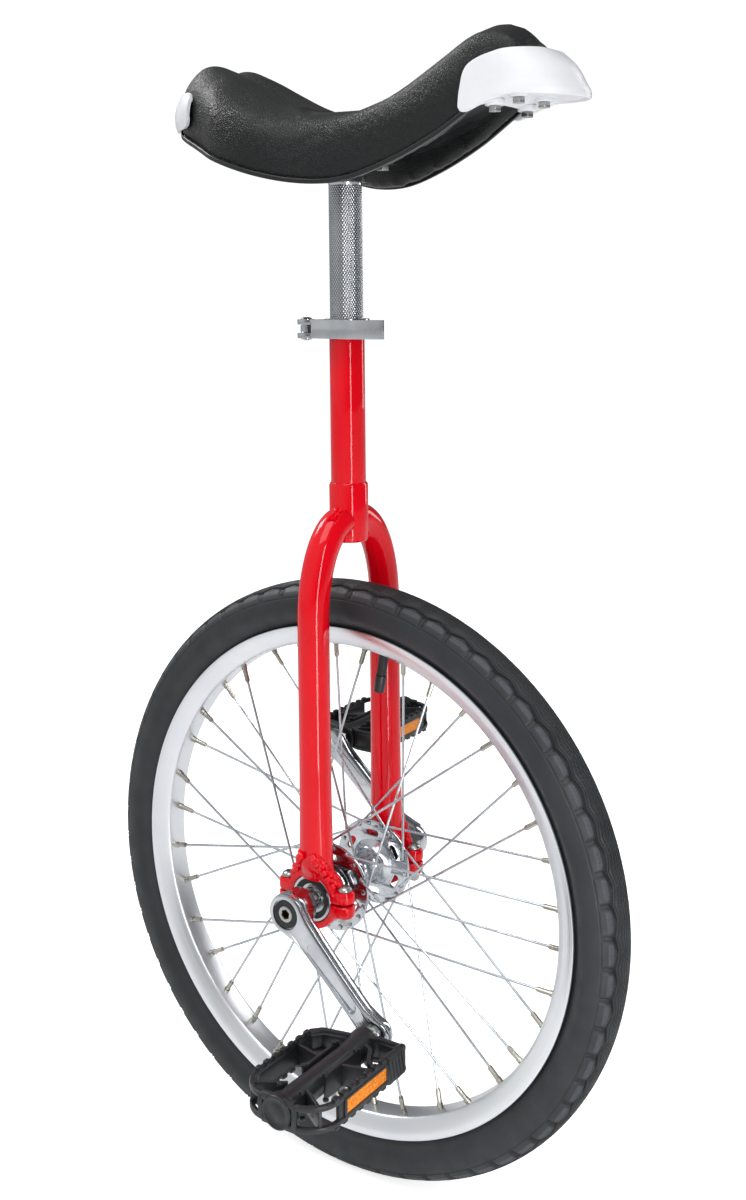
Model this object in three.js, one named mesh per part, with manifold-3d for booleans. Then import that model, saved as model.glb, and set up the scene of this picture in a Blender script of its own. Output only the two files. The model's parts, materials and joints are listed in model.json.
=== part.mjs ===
// Twenty-inch unicycle, as an assembly of its real pieces.
// Units are millimetres. +X is the riding direction, +Y the rider's left, +Z up.
// The origin is where the tyre meets the ground, straight below the axle.

import * as THREE from 'three';
import { mergeVertices } from 'three/addons/utils/BufferGeometryUtils.js';
import Module from 'manifold-3d';

const wasm = await Module();
wasm.setup();

// ---------------------------------------------------------------- driving dimensions

const FIT_GAP = 0.3;                  // clearance between pieces that touch

const WHEEL_RADIUS = 245.3;           // ground to axle: 406 rim with a 1.75 inch tyre
const WHEEL_FACETS = 40;
const TYRE_HALF_WIDTH = 22.1;
const TYRE_WALL = 3;
const TREAD_FLAT = 9;                 // half width of the flat crown of the tread
const RIM_RADIUS = 210;               // outer edge of the rim flange
const RIM_HALF_WIDTH = 16.7;
const RIM_BED_RADIUS = 194;           // face of the rim that looks at the hub
const SPOKES_PER_SIDE = 18;
const SPOKE_RADIUS = 1;
const SPOKE_CROSS_ANGLE = 60;         // degrees round the hub, three crossings
const FIRST_NIPPLE_ANGLE = 5;         // degrees, from +X towards +Z
const VALVE_ANGLE = 80;

const BEARING_Y = 50.4;               // middle of each main bearing
const BEARING_RADIUS = 18.5;
const BEARING_WIDTH = 12;
const AXLE_RADIUS = 8.5;
const FLANGE_Y = 30;                  // middle of each hub flange
const FLANGE_RADIUS = 35.5;

const LEG_RADIUS = 12.7;
const LEG_FOOT_RADIUS = 14;
const CROWN_RADIUS = 15.9;
const CROWN_BOTTOM = 524;
const CROWN_TOP = 572;
const SEAT_TUBE_RADIUS = 14.3;
const SEAT_TUBE_TOP = 703;
const POST_RADIUS = 13.6;
const POST_LENGTH = 250;
const POST_TOP = 832;

const CRANK_LENGTH = 110;
const CRANK_ANGLE = -39.3;            // right crank, degrees from +X towards +Z
const CRANK_FACE_Y = 92.6;            // outer face of the crank at the axle
const PEDAL_INNER_Y = 108;
const PEDAL_OUTER_Y = 214.5;
const PEDAL_HALF_LENGTH = 36;         // fore and aft of the pedal axle
const PEDAL_HALF_HEIGHT = 11;

const SADDLE_BASE_TOP = 843;          // top of the stiff base, above the seat post

// ---------------------------------------------------------------- materials

function finish(color, roughness, metalness) {
  return new THREE.MeshStandardMaterial({ color, roughness, metalness });
}

const redPaint = finish(0xd6061f, 0.25, 0.1);
const chrome = finish(0xd9dadc, 0.15, 1);
const steel = finish(0xb4b6b8, 0.35, 1);
const rimAlloy = finish(0xc4c6c9, 0.38, 0.9);
const polishedAlloy = finish(0xd3d4d6, 0.22, 0.95);
const rubber = finish(0x17181a, 0.85, 0);
const blackPlastic = finish(0x1c1d20, 0.55, 0);
const whitePlastic = finish(0xf1f2f3, 0.4, 0);
const vinyl = finish(0x202426, 0.5, 0);
const amber = finish(0xf08a12, 0.25, 0);

// ---------------------------------------------------------------- solids

const radians = THREE.MathUtils.degToRad;

// A closed three.js geometry as a manifold solid with its faces pointing out.
function solid(geometry) {
  const bare = geometry.clone();
  bare.deleteAttribute('normal');
  bare.deleteAttribute('uv');
  const merged = mergeVertices(bare, 1e-4);
  const position = merged.attributes.position.array;
  const index = merged.index.array;
  const kept = [];
  let volume = 0;
  for (let i = 0; i < index.length; i += 3) {
    const [a, b, c] = [index[i], index[i + 1], index[i + 2]];
    if (a === b || b === c || c === a) continue;
    kept.push(a, b, c);
    const corner = (k) => new THREE.Vector3().fromArray(position, 3 * k);
    volume += corner(a).dot(corner(b).cross(corner(c)));
  }
  if (volume < 0) kept.reverse();
  return new wasm.Manifold(new wasm.Mesh({
    numProp: 3,
    vertProperties: Float32Array.from(position),
    triVerts: Uint32Array.from(kept),
  }));
}

// The same piece after a rotation or shift.
function moved(piece, matrix) {
  const { vertProperties, triVerts } = piece.getMesh();
  const geometry = new THREE.BufferGeometry();
  geometry.setAttribute('position', new THREE.BufferAttribute(vertProperties, 3));
  geometry.setIndex(new THREE.BufferAttribute(triVerts, 1));
  geometry.applyMatrix4(matrix);
  return solid(geometry);
}

function join(...pieces) {
  return pieces.reduce((whole, piece) => whole.add(piece));
}

function box(x0, x1, y0, y1, z0, z1) {
  const geometry = new THREE.BoxGeometry(x1 - x0, y1 - y0, z1 - z0);
  geometry.translate((x0 + x1) / 2, (y0 + y1) / 2, (z0 + z1) / 2);
  return solid(geometry);
}

// A solid of revolution about the world Y axis at (x, z); the profile is [radius, y].
function turnedY(profile, segments = 32, x = 0, z = 0) {
  const points = profile.map(([r, y]) => new THREE.Vector2(r, y));
  const geometry = new THREE.LatheGeometry(points, segments, Math.PI / segments);
  geometry.translate(x, 0, z);
  return solid(geometry);
}

// A solid of revolution about a vertical axis at (x, y); the profile is [radius, z].
function turnedZ(profile, segments = 24, x = 0, y = 0) {
  const points = profile.map(([r, z]) => new THREE.Vector2(r, z));
  const geometry = new THREE.LatheGeometry(points, segments, Math.PI / segments);
  geometry.rotateX(Math.PI / 2);
  geometry.translate(x, y, 0);
  return solid(geometry);
}

function ringProfile(inner, outer, low, high) {
  return [[inner, low], [outer, low], [outer, high], [inner, high], [inner, low]];
}

function rodProfile(radius, low, high) {
  return [[0, low], [radius, low], [radius, high], [0, high]];
}

function rodY(radius, y0, y1, segments = 24, x = 0, z = 0) {
  return turnedY(rodProfile(radius, y0, y1), segments, x, z);
}

function rodZ(radius, z0, z1, segments = 16, x = 0, y = 0) {
  return turnedZ(rodProfile(radius, z0, z1), segments, x, y);
}

// A straight round bar between two points.
function bar(from, to, radius, sides) {
  const along = new THREE.Vector3().subVectors(to, from);
  const geometry = new THREE.CylinderGeometry(radius, radius, along.length(), sides);
  const turn = new THREE.Quaternion().setFromUnitVectors(
    new THREE.Vector3(0, 1, 0), along.clone().normalize());
  geometry.applyQuaternion(turn);
  const middle = from.clone().lerp(to, 0.5);
  geometry.translate(middle.x, middle.y, middle.z);
  return solid(geometry);
}

// A flat plate: an outline in X and Z, extruded from y0 to y1.
function plateXZ(shape, y0, y1, curveSegments = 12) {
  const options = { depth: y1 - y0, bevelEnabled: false, curveSegments };
  const geometry = new THREE.ExtrudeGeometry(shape, options);
  geometry.rotateX(Math.PI / 2);
  geometry.translate(0, y1, 0);
  return solid(geometry);
}

// A flat plate: an outline in X and Y, extruded from z0 to z1.
function plateXY(shape, z0, z1, curveSegments = 12) {
  const options = { depth: z1 - z0, bevelEnabled: false, curveSegments };
  const geometry = new THREE.ExtrudeGeometry(shape, options);
  geometry.translate(0, 0, z0);
  return solid(geometry);
}

// A slot with round ends, from one centre to the other.
function slotShape(x0, x1, z, radius) {
  const shape = new THREE.Shape();
  shape.absarc(x0, z, radius, Math.PI / 2, Math.PI * 1.5, false);
  shape.absarc(x1, z, radius, -Math.PI / 2, Math.PI / 2, false);
  return shape;
}

// A skin through rings of points, closed by a flat cap at each end.
function loft(rings) {
  const count = rings[0].length;
  const vertices = rings.flat().flatMap((point) => [point.x, point.y, point.z]);
  const faces = [];
  for (let ring = 0; ring + 1 < rings.length; ring += 1) {
    for (let k = 0; k < count; k += 1) {
      const next = (k + 1) % count;
      const [a, b] = [ring * count + k, ring * count + next];
      faces.push(a, b, b + count, a, b + count, a + count);
    }
  }
  const capEnd = (ring, flip) => {
    const points = rings[ring];
    const across = new THREE.Vector3().subVectors(points[count >> 2], points[0]);
    const normal = new THREE.Vector3();
    for (let k = 0; k < count; k += 1) {
      normal.add(points[k].clone().cross(points[(k + 1) % count]));
    }
    normal.normalize();
    across.addScaledVector(normal, -across.dot(normal)).normalize();
    const up = new THREE.Vector3().crossVectors(normal, across);
    const flat = points.map((point) => new THREE.Vector2(point.dot(across), point.dot(up)));
    for (const [a, b, c] of THREE.ShapeUtils.triangulateShape(flat, [])) {
      const start = ring * count;
      faces.push(start + a, start + (flip ? c : b), start + (flip ? b : c));
    }
  };
  capEnd(0, true);
  capEnd(rings.length - 1, false);
  const geometry = new THREE.BufferGeometry();
  geometry.setAttribute('position', new THREE.Float32BufferAttribute(vertices, 3));
  geometry.setIndex(faces);
  return solid(geometry);
}

// Straight-line lookup in a list of [x, value] pairs, eased so that slopes join smoothly.
function along(stations, x) {
  const curve = new THREE.CatmullRomCurve3(
    stations.map(([at, value]) => new THREE.Vector3(at, value, 0)), false, 'centripetal');
  let low = 0;
  let high = 1;
  for (let step = 0; step < 24; step += 1) {
    const middle = (low + high) / 2;
    if (curve.getPoint(middle).x < x) low = middle;
    else high = middle;
  }
  return curve.getPoint(low).y;
}

// ---------------------------------------------------------------- assembly

const unicycle = new THREE.Group();

// Everything that turns with the wheel is drawn about the axle.
const wheel = new THREE.Group();
wheel.position.z = WHEEL_RADIUS;
unicycle.add(wheel);

function addPart(name, piece, material, group = unicycle) {
  const { vertProperties, triVerts } = piece.getMesh();
  const geometry = new THREE.BufferGeometry();
  geometry.setAttribute('position', new THREE.BufferAttribute(vertProperties, 3));
  geometry.setIndex(new THREE.BufferAttribute(triVerts, 1));
  geometry.computeVertexNormals();
  const mesh = new THREE.Mesh(geometry, material);
  mesh.name = name;
  group.add(mesh);
}

// Each side's word, and its sign along Y: -1 is the rider's right.
const SIDES = [['right', -1], ['left', 1]];

// The same piece on the other side of the middle plane.
function mirrored(piece) {
  return moved(piece, new THREE.Matrix4().makeScale(1, -1, 1));
}

function addPair(name, rightPiece, material, group = unicycle) {
  addPart(`${name}_right`, rightPiece, material, group);
  addPart(`${name}_left`, mirrored(rightPiece), material, group);
}

// ---------------------------------------------------------------- tyre, tube and rim

// Points of a half section, followed by their mirror images, as one closed profile.
function symmetricProfile(half, grow = 1) {
  const one = half.map(([r, y]) => [r * grow, y]);
  const other = half.map(([r, y]) => [r * grow, -y]).reverse();
  return [...one, ...other, one[0]];
}

function tyreSolid() {
  const grow = 1 / Math.cos(Math.PI / WHEEL_FACETS);
  const inside = WHEEL_RADIUS - 2 * TYRE_WALL;
  return turnedY(symmetricProfile([
    [inside, 8],
    [inside - 11, 17.5],
    [inside - 19, TYRE_HALF_WIDTH - TYRE_WALL],
    [RIM_RADIUS - 0.5, 11.2],
    [RIM_RADIUS - 5, 10.6],
    [RIM_RADIUS - 5, 12.6],
    [RIM_RADIUS + 1.5, 14],
    [RIM_RADIUS + 7, 20],
    [RIM_RADIUS + 14, TYRE_HALF_WIDTH],
    [RIM_RADIUS + 24, TYRE_HALF_WIDTH - 2],
    [WHEEL_RADIUS - 4.5, 15],
    [WHEEL_RADIUS, TREAD_FLAT],
  ], grow), WHEEL_FACETS);
}

function innerTubeSolid(valveHole) {
  const middle = 223;
  const section = (radius, sides) => {
    const points = [];
    for (let k = 0; k <= sides; k += 1) {
      const turn = (2 * Math.PI * k) / sides;
      points.push([middle + radius * Math.cos(turn), radius * Math.sin(turn)]);
    }
    return turnedY(points, 24);
  };
  return section(15.5, 6).subtract(section(14.3, 6)).subtract(valveHole);
}

function rimSolid(valveHole) {
  return turnedY(symmetricProfile([
    [RIM_BED_RADIUS, 9.5],
    [RIM_BED_RADIUS + 3, 12],
    [RIM_RADIUS - 6, 15.7],
    [RIM_RADIUS - 1, RIM_HALF_WIDTH],
    [RIM_RADIUS, 14.9],
    [RIM_RADIUS - 6, 13.7],
    [RIM_RADIUS - 9, 10.5],
    [RIM_BED_RADIUS + 3, 8.4],
  ]), WHEEL_FACETS).subtract(valveHole);
}

function rimTapeSolid(valveHole) {
  const inner = RIM_BED_RADIUS + 3 + FIT_GAP;
  return turnedY(ringProfile(inner, inner + 0.9, -7.5, 7.5), WHEEL_FACETS).subtract(valveHole);
}

// A point in the wheel's own frame, at a radius, an angle from +X towards +Z, and y.
function wheelPoint(radius, degrees, y) {
  const turn = radians(degrees);
  return new THREE.Vector3(radius * Math.cos(turn), y, radius * Math.sin(turn));
}

function valveBar(innerRadius, outerRadius, thickness, sides = 12) {
  const from = wheelPoint(innerRadius, VALVE_ANGLE, 0);
  const to = wheelPoint(outerRadius, VALVE_ANGLE, 0);
  return bar(from, to, thickness, sides);
}

const VALVE_TIP = 160;
const VALVE_ROOT = 214;               // the stem ends here, just inside the inner tube
const VALVE_RADIUS = 4;
const VALVE_CAP_LENGTH = 14;

function addTyreAndRim() {
  const valveHole = valveBar(VALVE_TIP - 10, VALVE_ROOT + 2, VALVE_RADIUS + 0.4);
  addPart('tyre', tyreSolid(), rubber, wheel);
  addPart('inner_tube', innerTubeSolid(valveHole), rubber, wheel);
  addPart('rim', rimSolid(valveHole), rimAlloy, wheel);
  addPart('rim_tape', rimTapeSolid(valveHole), vinyl, wheel);
  const capEnd = VALVE_TIP + VALVE_CAP_LENGTH;
  addPart('valve_stem', valveBar(capEnd + FIT_GAP, VALVE_ROOT, VALVE_RADIUS), rubber, wheel);
  addPart('valve_cap', valveBar(VALVE_TIP, capEnd, VALVE_RADIUS + 0.6), blackPlastic, wheel);
}

// ---------------------------------------------------------------- spokes and hub

const NIPPLE_RADIUS = 2.2;
const NIPPLE_LENGTH = 12;
const NIPPLE_TOP = RIM_BED_RADIUS - 1.8;
const NIPPLE_STAGGER = 3;             // nipples sit a little to their own side of the rim
const FLANGE_THICKNESS = 2.6;
const FLANGE_SLOTS = 6;
const FLANGE_SLOT_RADIUS = 25.5;
const SPOKE_HOLE_RADIUS = FLANGE_RADIUS - 3;

// A spoke and its nipple, drawn along Y from the hub end and then turned into place.
function spokeBar(hubEnd, rimEnd) {
  const reach = new THREE.Vector3().subVectors(rimEnd, hubEnd);
  const length = reach.length();
  const profile = [
    [0, 0], [SPOKE_RADIUS, 0], [SPOKE_RADIUS, length - NIPPLE_LENGTH],
    [NIPPLE_RADIUS, length - NIPPLE_LENGTH], [NIPPLE_RADIUS, length], [0, length],
  ];
  const turn = new THREE.Quaternion().setFromUnitVectors(
    new THREE.Vector3(0, 1, 0), reach.normalize());
  const place = new THREE.Matrix4().compose(hubEnd, turn, new THREE.Vector3(1, 1, 1));
  return moved(turnedY(profile, 4), place);
}

// One side's spokes meet where they cross, so they and their nipples make one piece.
function spokesSolid(side) {
  const hubY = side * (FLANGE_Y + FLANGE_THICKNESS / 2 + SPOKE_RADIUS + FIT_GAP);
  const pitch = 180 / SPOKES_PER_SIDE;
  const spokes = [];
  for (let k = 0; k < SPOKES_PER_SIDE; k += 1) {
    const hole = 2 * k + (side > 0 ? 1 : 0);
    const rimAngle = FIRST_NIPPLE_ANGLE + pitch * hole;
    const lean = hole % 4 < 2 ? SPOKE_CROSS_ANGLE : -SPOKE_CROSS_ANGLE;
    const hubEnd = wheelPoint(SPOKE_HOLE_RADIUS, rimAngle + lean, hubY);
    const rimEnd = wheelPoint(NIPPLE_TOP, rimAngle, side * NIPPLE_STAGGER);
    spokes.push(spokeBar(hubEnd, rimEnd));
  }
  return join(...spokes);
}

function hubShellSolid() {
  const bore = AXLE_RADIUS + FIT_GAP;
  const barrel = 12;
  const inner = FLANGE_Y - FLANGE_THICKNESS / 2;
  const outer = FLANGE_Y + FLANGE_THICKNESS / 2;
  let hub = turnedY(symmetricProfile([
    [barrel, inner - 9],
    [barrel + 5, inner],
    [FLANGE_RADIUS, inner],
    [FLANGE_RADIUS, outer - 1.3],
    [SPOKE_HOLE_RADIUS - 2, outer],
    [barrel + 3, outer],
    [barrel + 1, outer + 2.5],
    [bore, outer + 2.5],
  ]), 20);
  for (let k = 0; k < FLANGE_SLOTS; k += 1) {
    const slot = plateXZ(slotShape(-3.5, 3.5, 0, 2.6), -outer - 1, outer + 1, 2);
    const turned = new THREE.Matrix4().makeRotationY((2 * Math.PI * k) / FLANGE_SLOTS);
    turned.multiply(new THREE.Matrix4().makeTranslation(0, 0, FLANGE_SLOT_RADIUS));
    hub = hub.subtract(moved(slot, turned));
  }
  return hub;
}

// A tapered square bar along Y, with its flats square to the crank.
function squareTaper(y0, flats0, y1, flats1) {
  const ring = (y, flats) => {
    const half = flats / 2;
    return [[-half, -half], [half, -half], [half, half], [-half, half]].map(
      ([x, z]) => new THREE.Vector3(x, y, z));
  };
  return loft([ring(y0, flats0), ring(y1, flats1)]);
}

const TAPER_INNER_Y = 64;
const TAPER_OUTER_Y = 86;
const TAPER_INNER_FLATS = 14.4;
const TAPER_OUTER_FLATS = 12.7;
const CRANK_BOLT_SHANK = 3.9;

function taperEnd(side, grow = 0, extra = 0) {
  const slope = (TAPER_INNER_FLATS - TAPER_OUTER_FLATS) / (TAPER_OUTER_Y - TAPER_INNER_Y);
  const inner = TAPER_INNER_Y - extra;
  const outer = TAPER_OUTER_Y + extra;
  return squareTaper(
    side * inner, TAPER_INNER_FLATS + extra * slope + grow,
    side * outer, TAPER_OUTER_FLATS - extra * slope + grow);
}

function axleSolid() {
  const shaft = rodY(AXLE_RADIUS, -TAPER_INNER_Y - 1, TAPER_INNER_Y + 1, 24);
  const turn = new THREE.Matrix4().makeRotationY(-radians(CRANK_ANGLE));
  let axle = join(shaft, moved(taperEnd(-1), turn), moved(taperEnd(1), turn));
  for (const [, side] of SIDES) {
    const ends = [side * (TAPER_INNER_Y + 4), side * (TAPER_OUTER_Y + 1)].sort((a, b) => a - b);
    axle = axle.subtract(rodY(CRANK_BOLT_SHANK + FIT_GAP, ...ends, 12));
  }
  return axle;
}

function addHub() {
  addPart('spokes_right', spokesSolid(-1), steel, wheel);
  addPart('spokes_left', spokesSolid(1), steel, wheel);
  addPart('hub_shell', hubShellSolid(), chrome, wheel);
  addPart('hub_axle', axleSolid(), steel, wheel);
  const from = -BEARING_Y - BEARING_WIDTH / 2;
  const to = -BEARING_Y + BEARING_WIDTH / 2;
  const innerRace = turnedY(ringProfile(AXLE_RADIUS + FIT_GAP, 11.7, from, to), 24);
  addPair('bearing_inner', innerRace, steel, wheel);
}

// ---------------------------------------------------------------- cranks and pedals

const CRANK_BOSS_RADIUS = 15.5;
const CRANK_EYE_RADIUS = 11.5;
const CRANK_ARM_HALF_WIDTH = 8.6;
const CRANK_THICKNESS = 12;
const CRANK_FLARE = 5.5;              // the pedal end stands further out than the boss
const CRANK_BOSS_INNER_Y = 69;
const PEDAL_THREAD_RADIUS = 7;
const BOLT_HEAD_RADIUS = 10.8;

// Slides a piece sideways in proportion to its distance along the crank.
function flared(geometry) {
  const position = geometry.attributes.position;
  for (let k = 0; k < position.count; k += 1) {
    const share = THREE.MathUtils.clamp(position.getX(k) / CRANK_LENGTH, 0, 1);
    position.setY(k, position.getY(k) - CRANK_FLARE * share);
  }
  return geometry;
}

function flaredPlate(shape, y0, y1) {
  const geometry = new THREE.ExtrudeGeometry(shape, {
    depth: y1 - y0, bevelEnabled: false, curveSegments: 7,
  });
  geometry.rotateX(Math.PI / 2);
  geometry.translate(0, y1, 0);
  return solid(flared(geometry));
}

// A round boss and a round eye joined by a slimmer arm.
function crankShape() {
  const arm = CRANK_ARM_HALF_WIDTH;
  const shape = new THREE.Shape();
  shape.absarc(0, 0, CRANK_BOSS_RADIUS, radians(65), radians(295), false);
  shape.lineTo(34, -arm);
  shape.lineTo(CRANK_LENGTH - 20, -arm + 0.5);
  shape.absarc(CRANK_LENGTH, 0, CRANK_EYE_RADIUS, radians(-115), radians(115), false);
  shape.lineTo(CRANK_LENGTH - 20, arm - 0.5);
  shape.lineTo(34, arm);
  return shape;
}

function crankSolid() {
  const face = -CRANK_FACE_Y;
  const boss = rodY(CRANK_BOSS_RADIUS - 1.5, face + 4, -CRANK_BOSS_INNER_Y, 16);
  const arm = flaredPlate(crankShape(), face, face + CRANK_THICKNESS);
  const groove = flaredPlate(slotShape(32, CRANK_LENGTH - 24, 0, 4), face - 2, face + 2);
  const eye = rodY(PEDAL_THREAD_RADIUS + FIT_GAP, -110, -80, 12, CRANK_LENGTH);
  const boltSeat = rodY(BOLT_HEAD_RADIUS + FIT_GAP, face - 1, face + 5.5, 16);
  return join(boss, arm)
    .subtract(groove)
    .subtract(eye)
    .subtract(boltSeat)
    .subtract(taperEnd(-1, 2 * FIT_GAP, 8));
}

function crankBoltSolid() {
  const face = -CRANK_FACE_Y;
  const underHead = face + 5.5 - FIT_GAP;
  return turnedY([
    [0, -TAPER_INNER_Y - 6],
    [CRANK_BOLT_SHANK, -TAPER_INNER_Y - 6],
    [CRANK_BOLT_SHANK, underHead],
    [BOLT_HEAD_RADIUS, underHead],
    [BOLT_HEAD_RADIUS, face + 0.8],
    [4.2, face + 0.8],
    [4.2, face + 4],
    [0, face + 4],
  ], 16);
}

function pedalAxleSolid() {
  const face = -CRANK_FACE_Y - CRANK_FLARE;
  return turnedY([
    [0, face + CRANK_THICKNESS - 1],
    [PEDAL_THREAD_RADIUS, face + CRANK_THICKNESS - 1],
    [PEDAL_THREAD_RADIUS, face - FIT_GAP],
    [8.4, face - FIT_GAP],
    [8.4, face - 6],
    [5, face - 7],
    [5, -PEDAL_OUTER_Y + 6],
    [0, -PEDAL_OUTER_Y + 6],
  ], 12);
}

const PEDAL_BAND = 3.6;
const PEDAL_CORNER = 24;
const PEDAL_CUT_BACK = 12;            // how much shorter the cage is behind the axle
const REFLECTOR_Y = [-181, -134];
const REFLECTOR_HALF_HEIGHT = 4.8;

// The cage seen from above: cut back behind the crank, rounded at the far end.
function cageShape(inset) {
  const half = PEDAL_HALF_LENGTH - inset;
  const near = -PEDAL_INNER_Y - inset;
  const far = -PEDAL_OUTER_Y + 1 + inset;
  const corner = PEDAL_CORNER - inset;
  const shape = new THREE.Shape();
  shape.moveTo(half, near);
  shape.lineTo(14, near);
  shape.lineTo(-29 + inset, near - PEDAL_CUT_BACK);
  shape.lineTo(-half, near - PEDAL_CUT_BACK - 7);
  shape.lineTo(-half, far + corner);
  shape.absarc(-half + corner, far + corner, corner, Math.PI, Math.PI * 1.5, false);
  shape.absarc(half - corner, far + corner, corner, Math.PI * 1.5, Math.PI * 2, false);
  return shape;
}

function pedalCageSolid() {
  const height = PEDAL_HALF_HEIGHT;
  const half = PEDAL_HALF_LENGTH;
  const band = plateXY(cageShape(0), -height, height, 5)
    .subtract(plateXY(cageShape(PEDAL_BAND), -height - 1, height + 1, 5));
  const barrel = rodY(9.8, -PEDAL_OUTER_Y + 1, -PEDAL_INNER_Y + 1.5, 16);
  const endDisc = rodY(10.8, -PEDAL_OUTER_Y, -PEDAL_OUTER_Y + 4, 16);
  const rib = box(-half + 2, half - 2, -152, -148, -8, 8);
  let cage = join(band, barrel, endDisc, rib);
  cage = cage.subtract(rodY(5 + 2 * FIT_GAP, -PEDAL_OUTER_Y + 5, -100, 12));
  for (const edge of [-1, 1]) {
    const windowX = [edge * 15, edge * (half + 1)].sort((a, b) => a - b);
    cage = cage.subtract(box(...windowX, -PEDAL_OUTER_Y - 1, -190, -7.5, 7.5));
    const recessX = [edge * (half - 2.2), edge * (half + 1)].sort((a, b) => a - b);
    const [low, high] = REFLECTOR_Y;
    const tall = REFLECTOR_HALF_HEIGHT + FIT_GAP;
    cage = cage.subtract(box(...recessX, low - FIT_GAP, high + FIT_GAP, -tall, tall));
  }
  return cage;
}

function reflectorSolid(edge) {
  const outer = edge * (PEDAL_HALF_LENGTH + 0.2);
  const inner = edge * (PEDAL_HALF_LENGTH - 2.2 + FIT_GAP);
  const ends = [inner, outer].sort((a, b) => a - b);
  return box(...ends, ...REFLECTOR_Y, -REFLECTOR_HALF_HEIGHT, REFLECTOR_HALF_HEIGHT);
}

function addCranksAndPedals() {
  const drawn = {
    crank: [crankSolid(), polishedAlloy],
    crank_bolt: [crankBoltSolid(), blackPlastic],
  };
  const threaded = pedalAxleSolid();
  const cage = pedalCageSolid();
  for (const [word, side] of SIDES) {
    const facing = (piece) => (side < 0 ? piece : mirrored(piece));
    const crank = new THREE.Group();
    const turn = CRANK_ANGLE + (side < 0 ? 0 : 180);
    crank.rotation.y = -radians(turn);
    wheel.add(crank);
    for (const [name, [piece, material]] of Object.entries(drawn)) {
      addPart(`${name}_${word}`, facing(piece), material, crank);
    }
    const pedal = new THREE.Group();
    pedal.position.x = CRANK_LENGTH;
    pedal.rotation.y = radians(turn);
    crank.add(pedal);
    addPart(`pedal_axle_${word}`, facing(threaded), steel, pedal);
    addPart(`pedal_cage_${word}`, facing(cage), blackPlastic, pedal);
    addPart(`reflector_front_${word}`, facing(reflectorSolid(1)), amber, pedal);
    addPart(`reflector_rear_${word}`, facing(reflectorSolid(-1)), amber, pedal);
  }
}

// ---------------------------------------------------------------- fork and bearing housings

const REACH = 90;                     // cutting tools run this far past the housing pieces
const HOUSING_RADIUS = 24;
const HOUSING_HALF_WIDTH = 8.5;
const EAR_REACH = 35;
const EAR_HALF_HEIGHT = 10.5;
const CAP_BOLT_X = 27.5;
const CAP_HEX_RADIUS = 5.8;
const CAP_BOLT_RADIUS = 3;
const CAP_HEX_HEIGHT = 5;
const CAP_BOLT_TAIL = 3;              // how far the bolt shows below its nut
const SPLIT_HALF_GAP = 1;
const FOOT_TOP = 28;                  // leg socket of the housing, above the axle

// Right-hand housing with its ears and leg socket, drawn about the axle.
function housingBlock() {
  const y0 = -BEARING_Y - HOUSING_HALF_WIDTH;
  const y1 = -BEARING_Y + HOUSING_HALF_WIDTH;
  let block = join(
    rodY(HOUSING_RADIUS, y0, y1, 28),
    box(-EAR_REACH, EAR_REACH, y0 + 1, y1 - 1, -EAR_HALF_HEIGHT, EAR_HALF_HEIGHT),
    rodZ(LEG_FOOT_RADIUS, 8, FOOT_TOP, 24, 0, -BEARING_Y),
  );
  block = block.subtract(rodY(BEARING_RADIUS + FIT_GAP, y0 - 9, y1 + 9, 24));
  for (const x of [-CAP_BOLT_X, CAP_BOLT_X]) {
    block = block.subtract(rodZ(CAP_BOLT_RADIUS + FIT_GAP, -REACH, REACH, 12, x, -BEARING_Y));
  }
  return block;
}

function addHousings() {
  const group = new THREE.Group();
  group.position.z = WHEEL_RADIUS;
  unicycle.add(group);
  const block = housingBlock();
  const upper = block.intersect(box(-REACH, REACH, -REACH, 0, SPLIT_HALF_GAP, REACH));
  const lower = block.intersect(box(-REACH, REACH, -REACH, 0, -REACH, -SPLIT_HALF_GAP));
  addPair('bearing_housing', upper, redPaint, group);
  addPair('bearing_cap', lower, redPaint, group);
  const from = -BEARING_Y - BEARING_WIDTH / 2;
  const to = -BEARING_Y + BEARING_WIDTH / 2;
  const outerRace = turnedY(ringProfile(12.2, BEARING_RADIUS, from, to), 24);
  addPair('bearing_outer', outerRace, blackPlastic, group);
  const ear = EAR_HALF_HEIGHT + FIT_GAP;
  for (const [end, x] of [['front', CAP_BOLT_X], ['rear', -CAP_BOLT_X]]) {
    const bolt = join(
      rodZ(CAP_BOLT_RADIUS, -ear - CAP_HEX_HEIGHT - CAP_BOLT_TAIL, ear + 1, 12, x, -BEARING_Y),
      rodZ(CAP_HEX_RADIUS, ear, ear + CAP_HEX_HEIGHT, 6, x, -BEARING_Y),
    );
    const nut = rodZ(CAP_HEX_RADIUS, -ear - CAP_HEX_HEIGHT, -ear, 6, x, -BEARING_Y)
      .subtract(rodZ(CAP_BOLT_RADIUS + FIT_GAP, -REACH, 0, 12, x, -BEARING_Y));
    addPair(`cap_bolt_${end}`, bolt, steel, group);
    addPair(`cap_nut_${end}`, nut, steel, group);
  }
}

const LEG_JOIN_Z = 541;               // middle of the leg where it leaves the crown
const LEG_BEND_BOTTOM = 466;          // the leg runs straight down below this
const LEG_START_Y = 8;
const LEG_WALL = 2;

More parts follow.
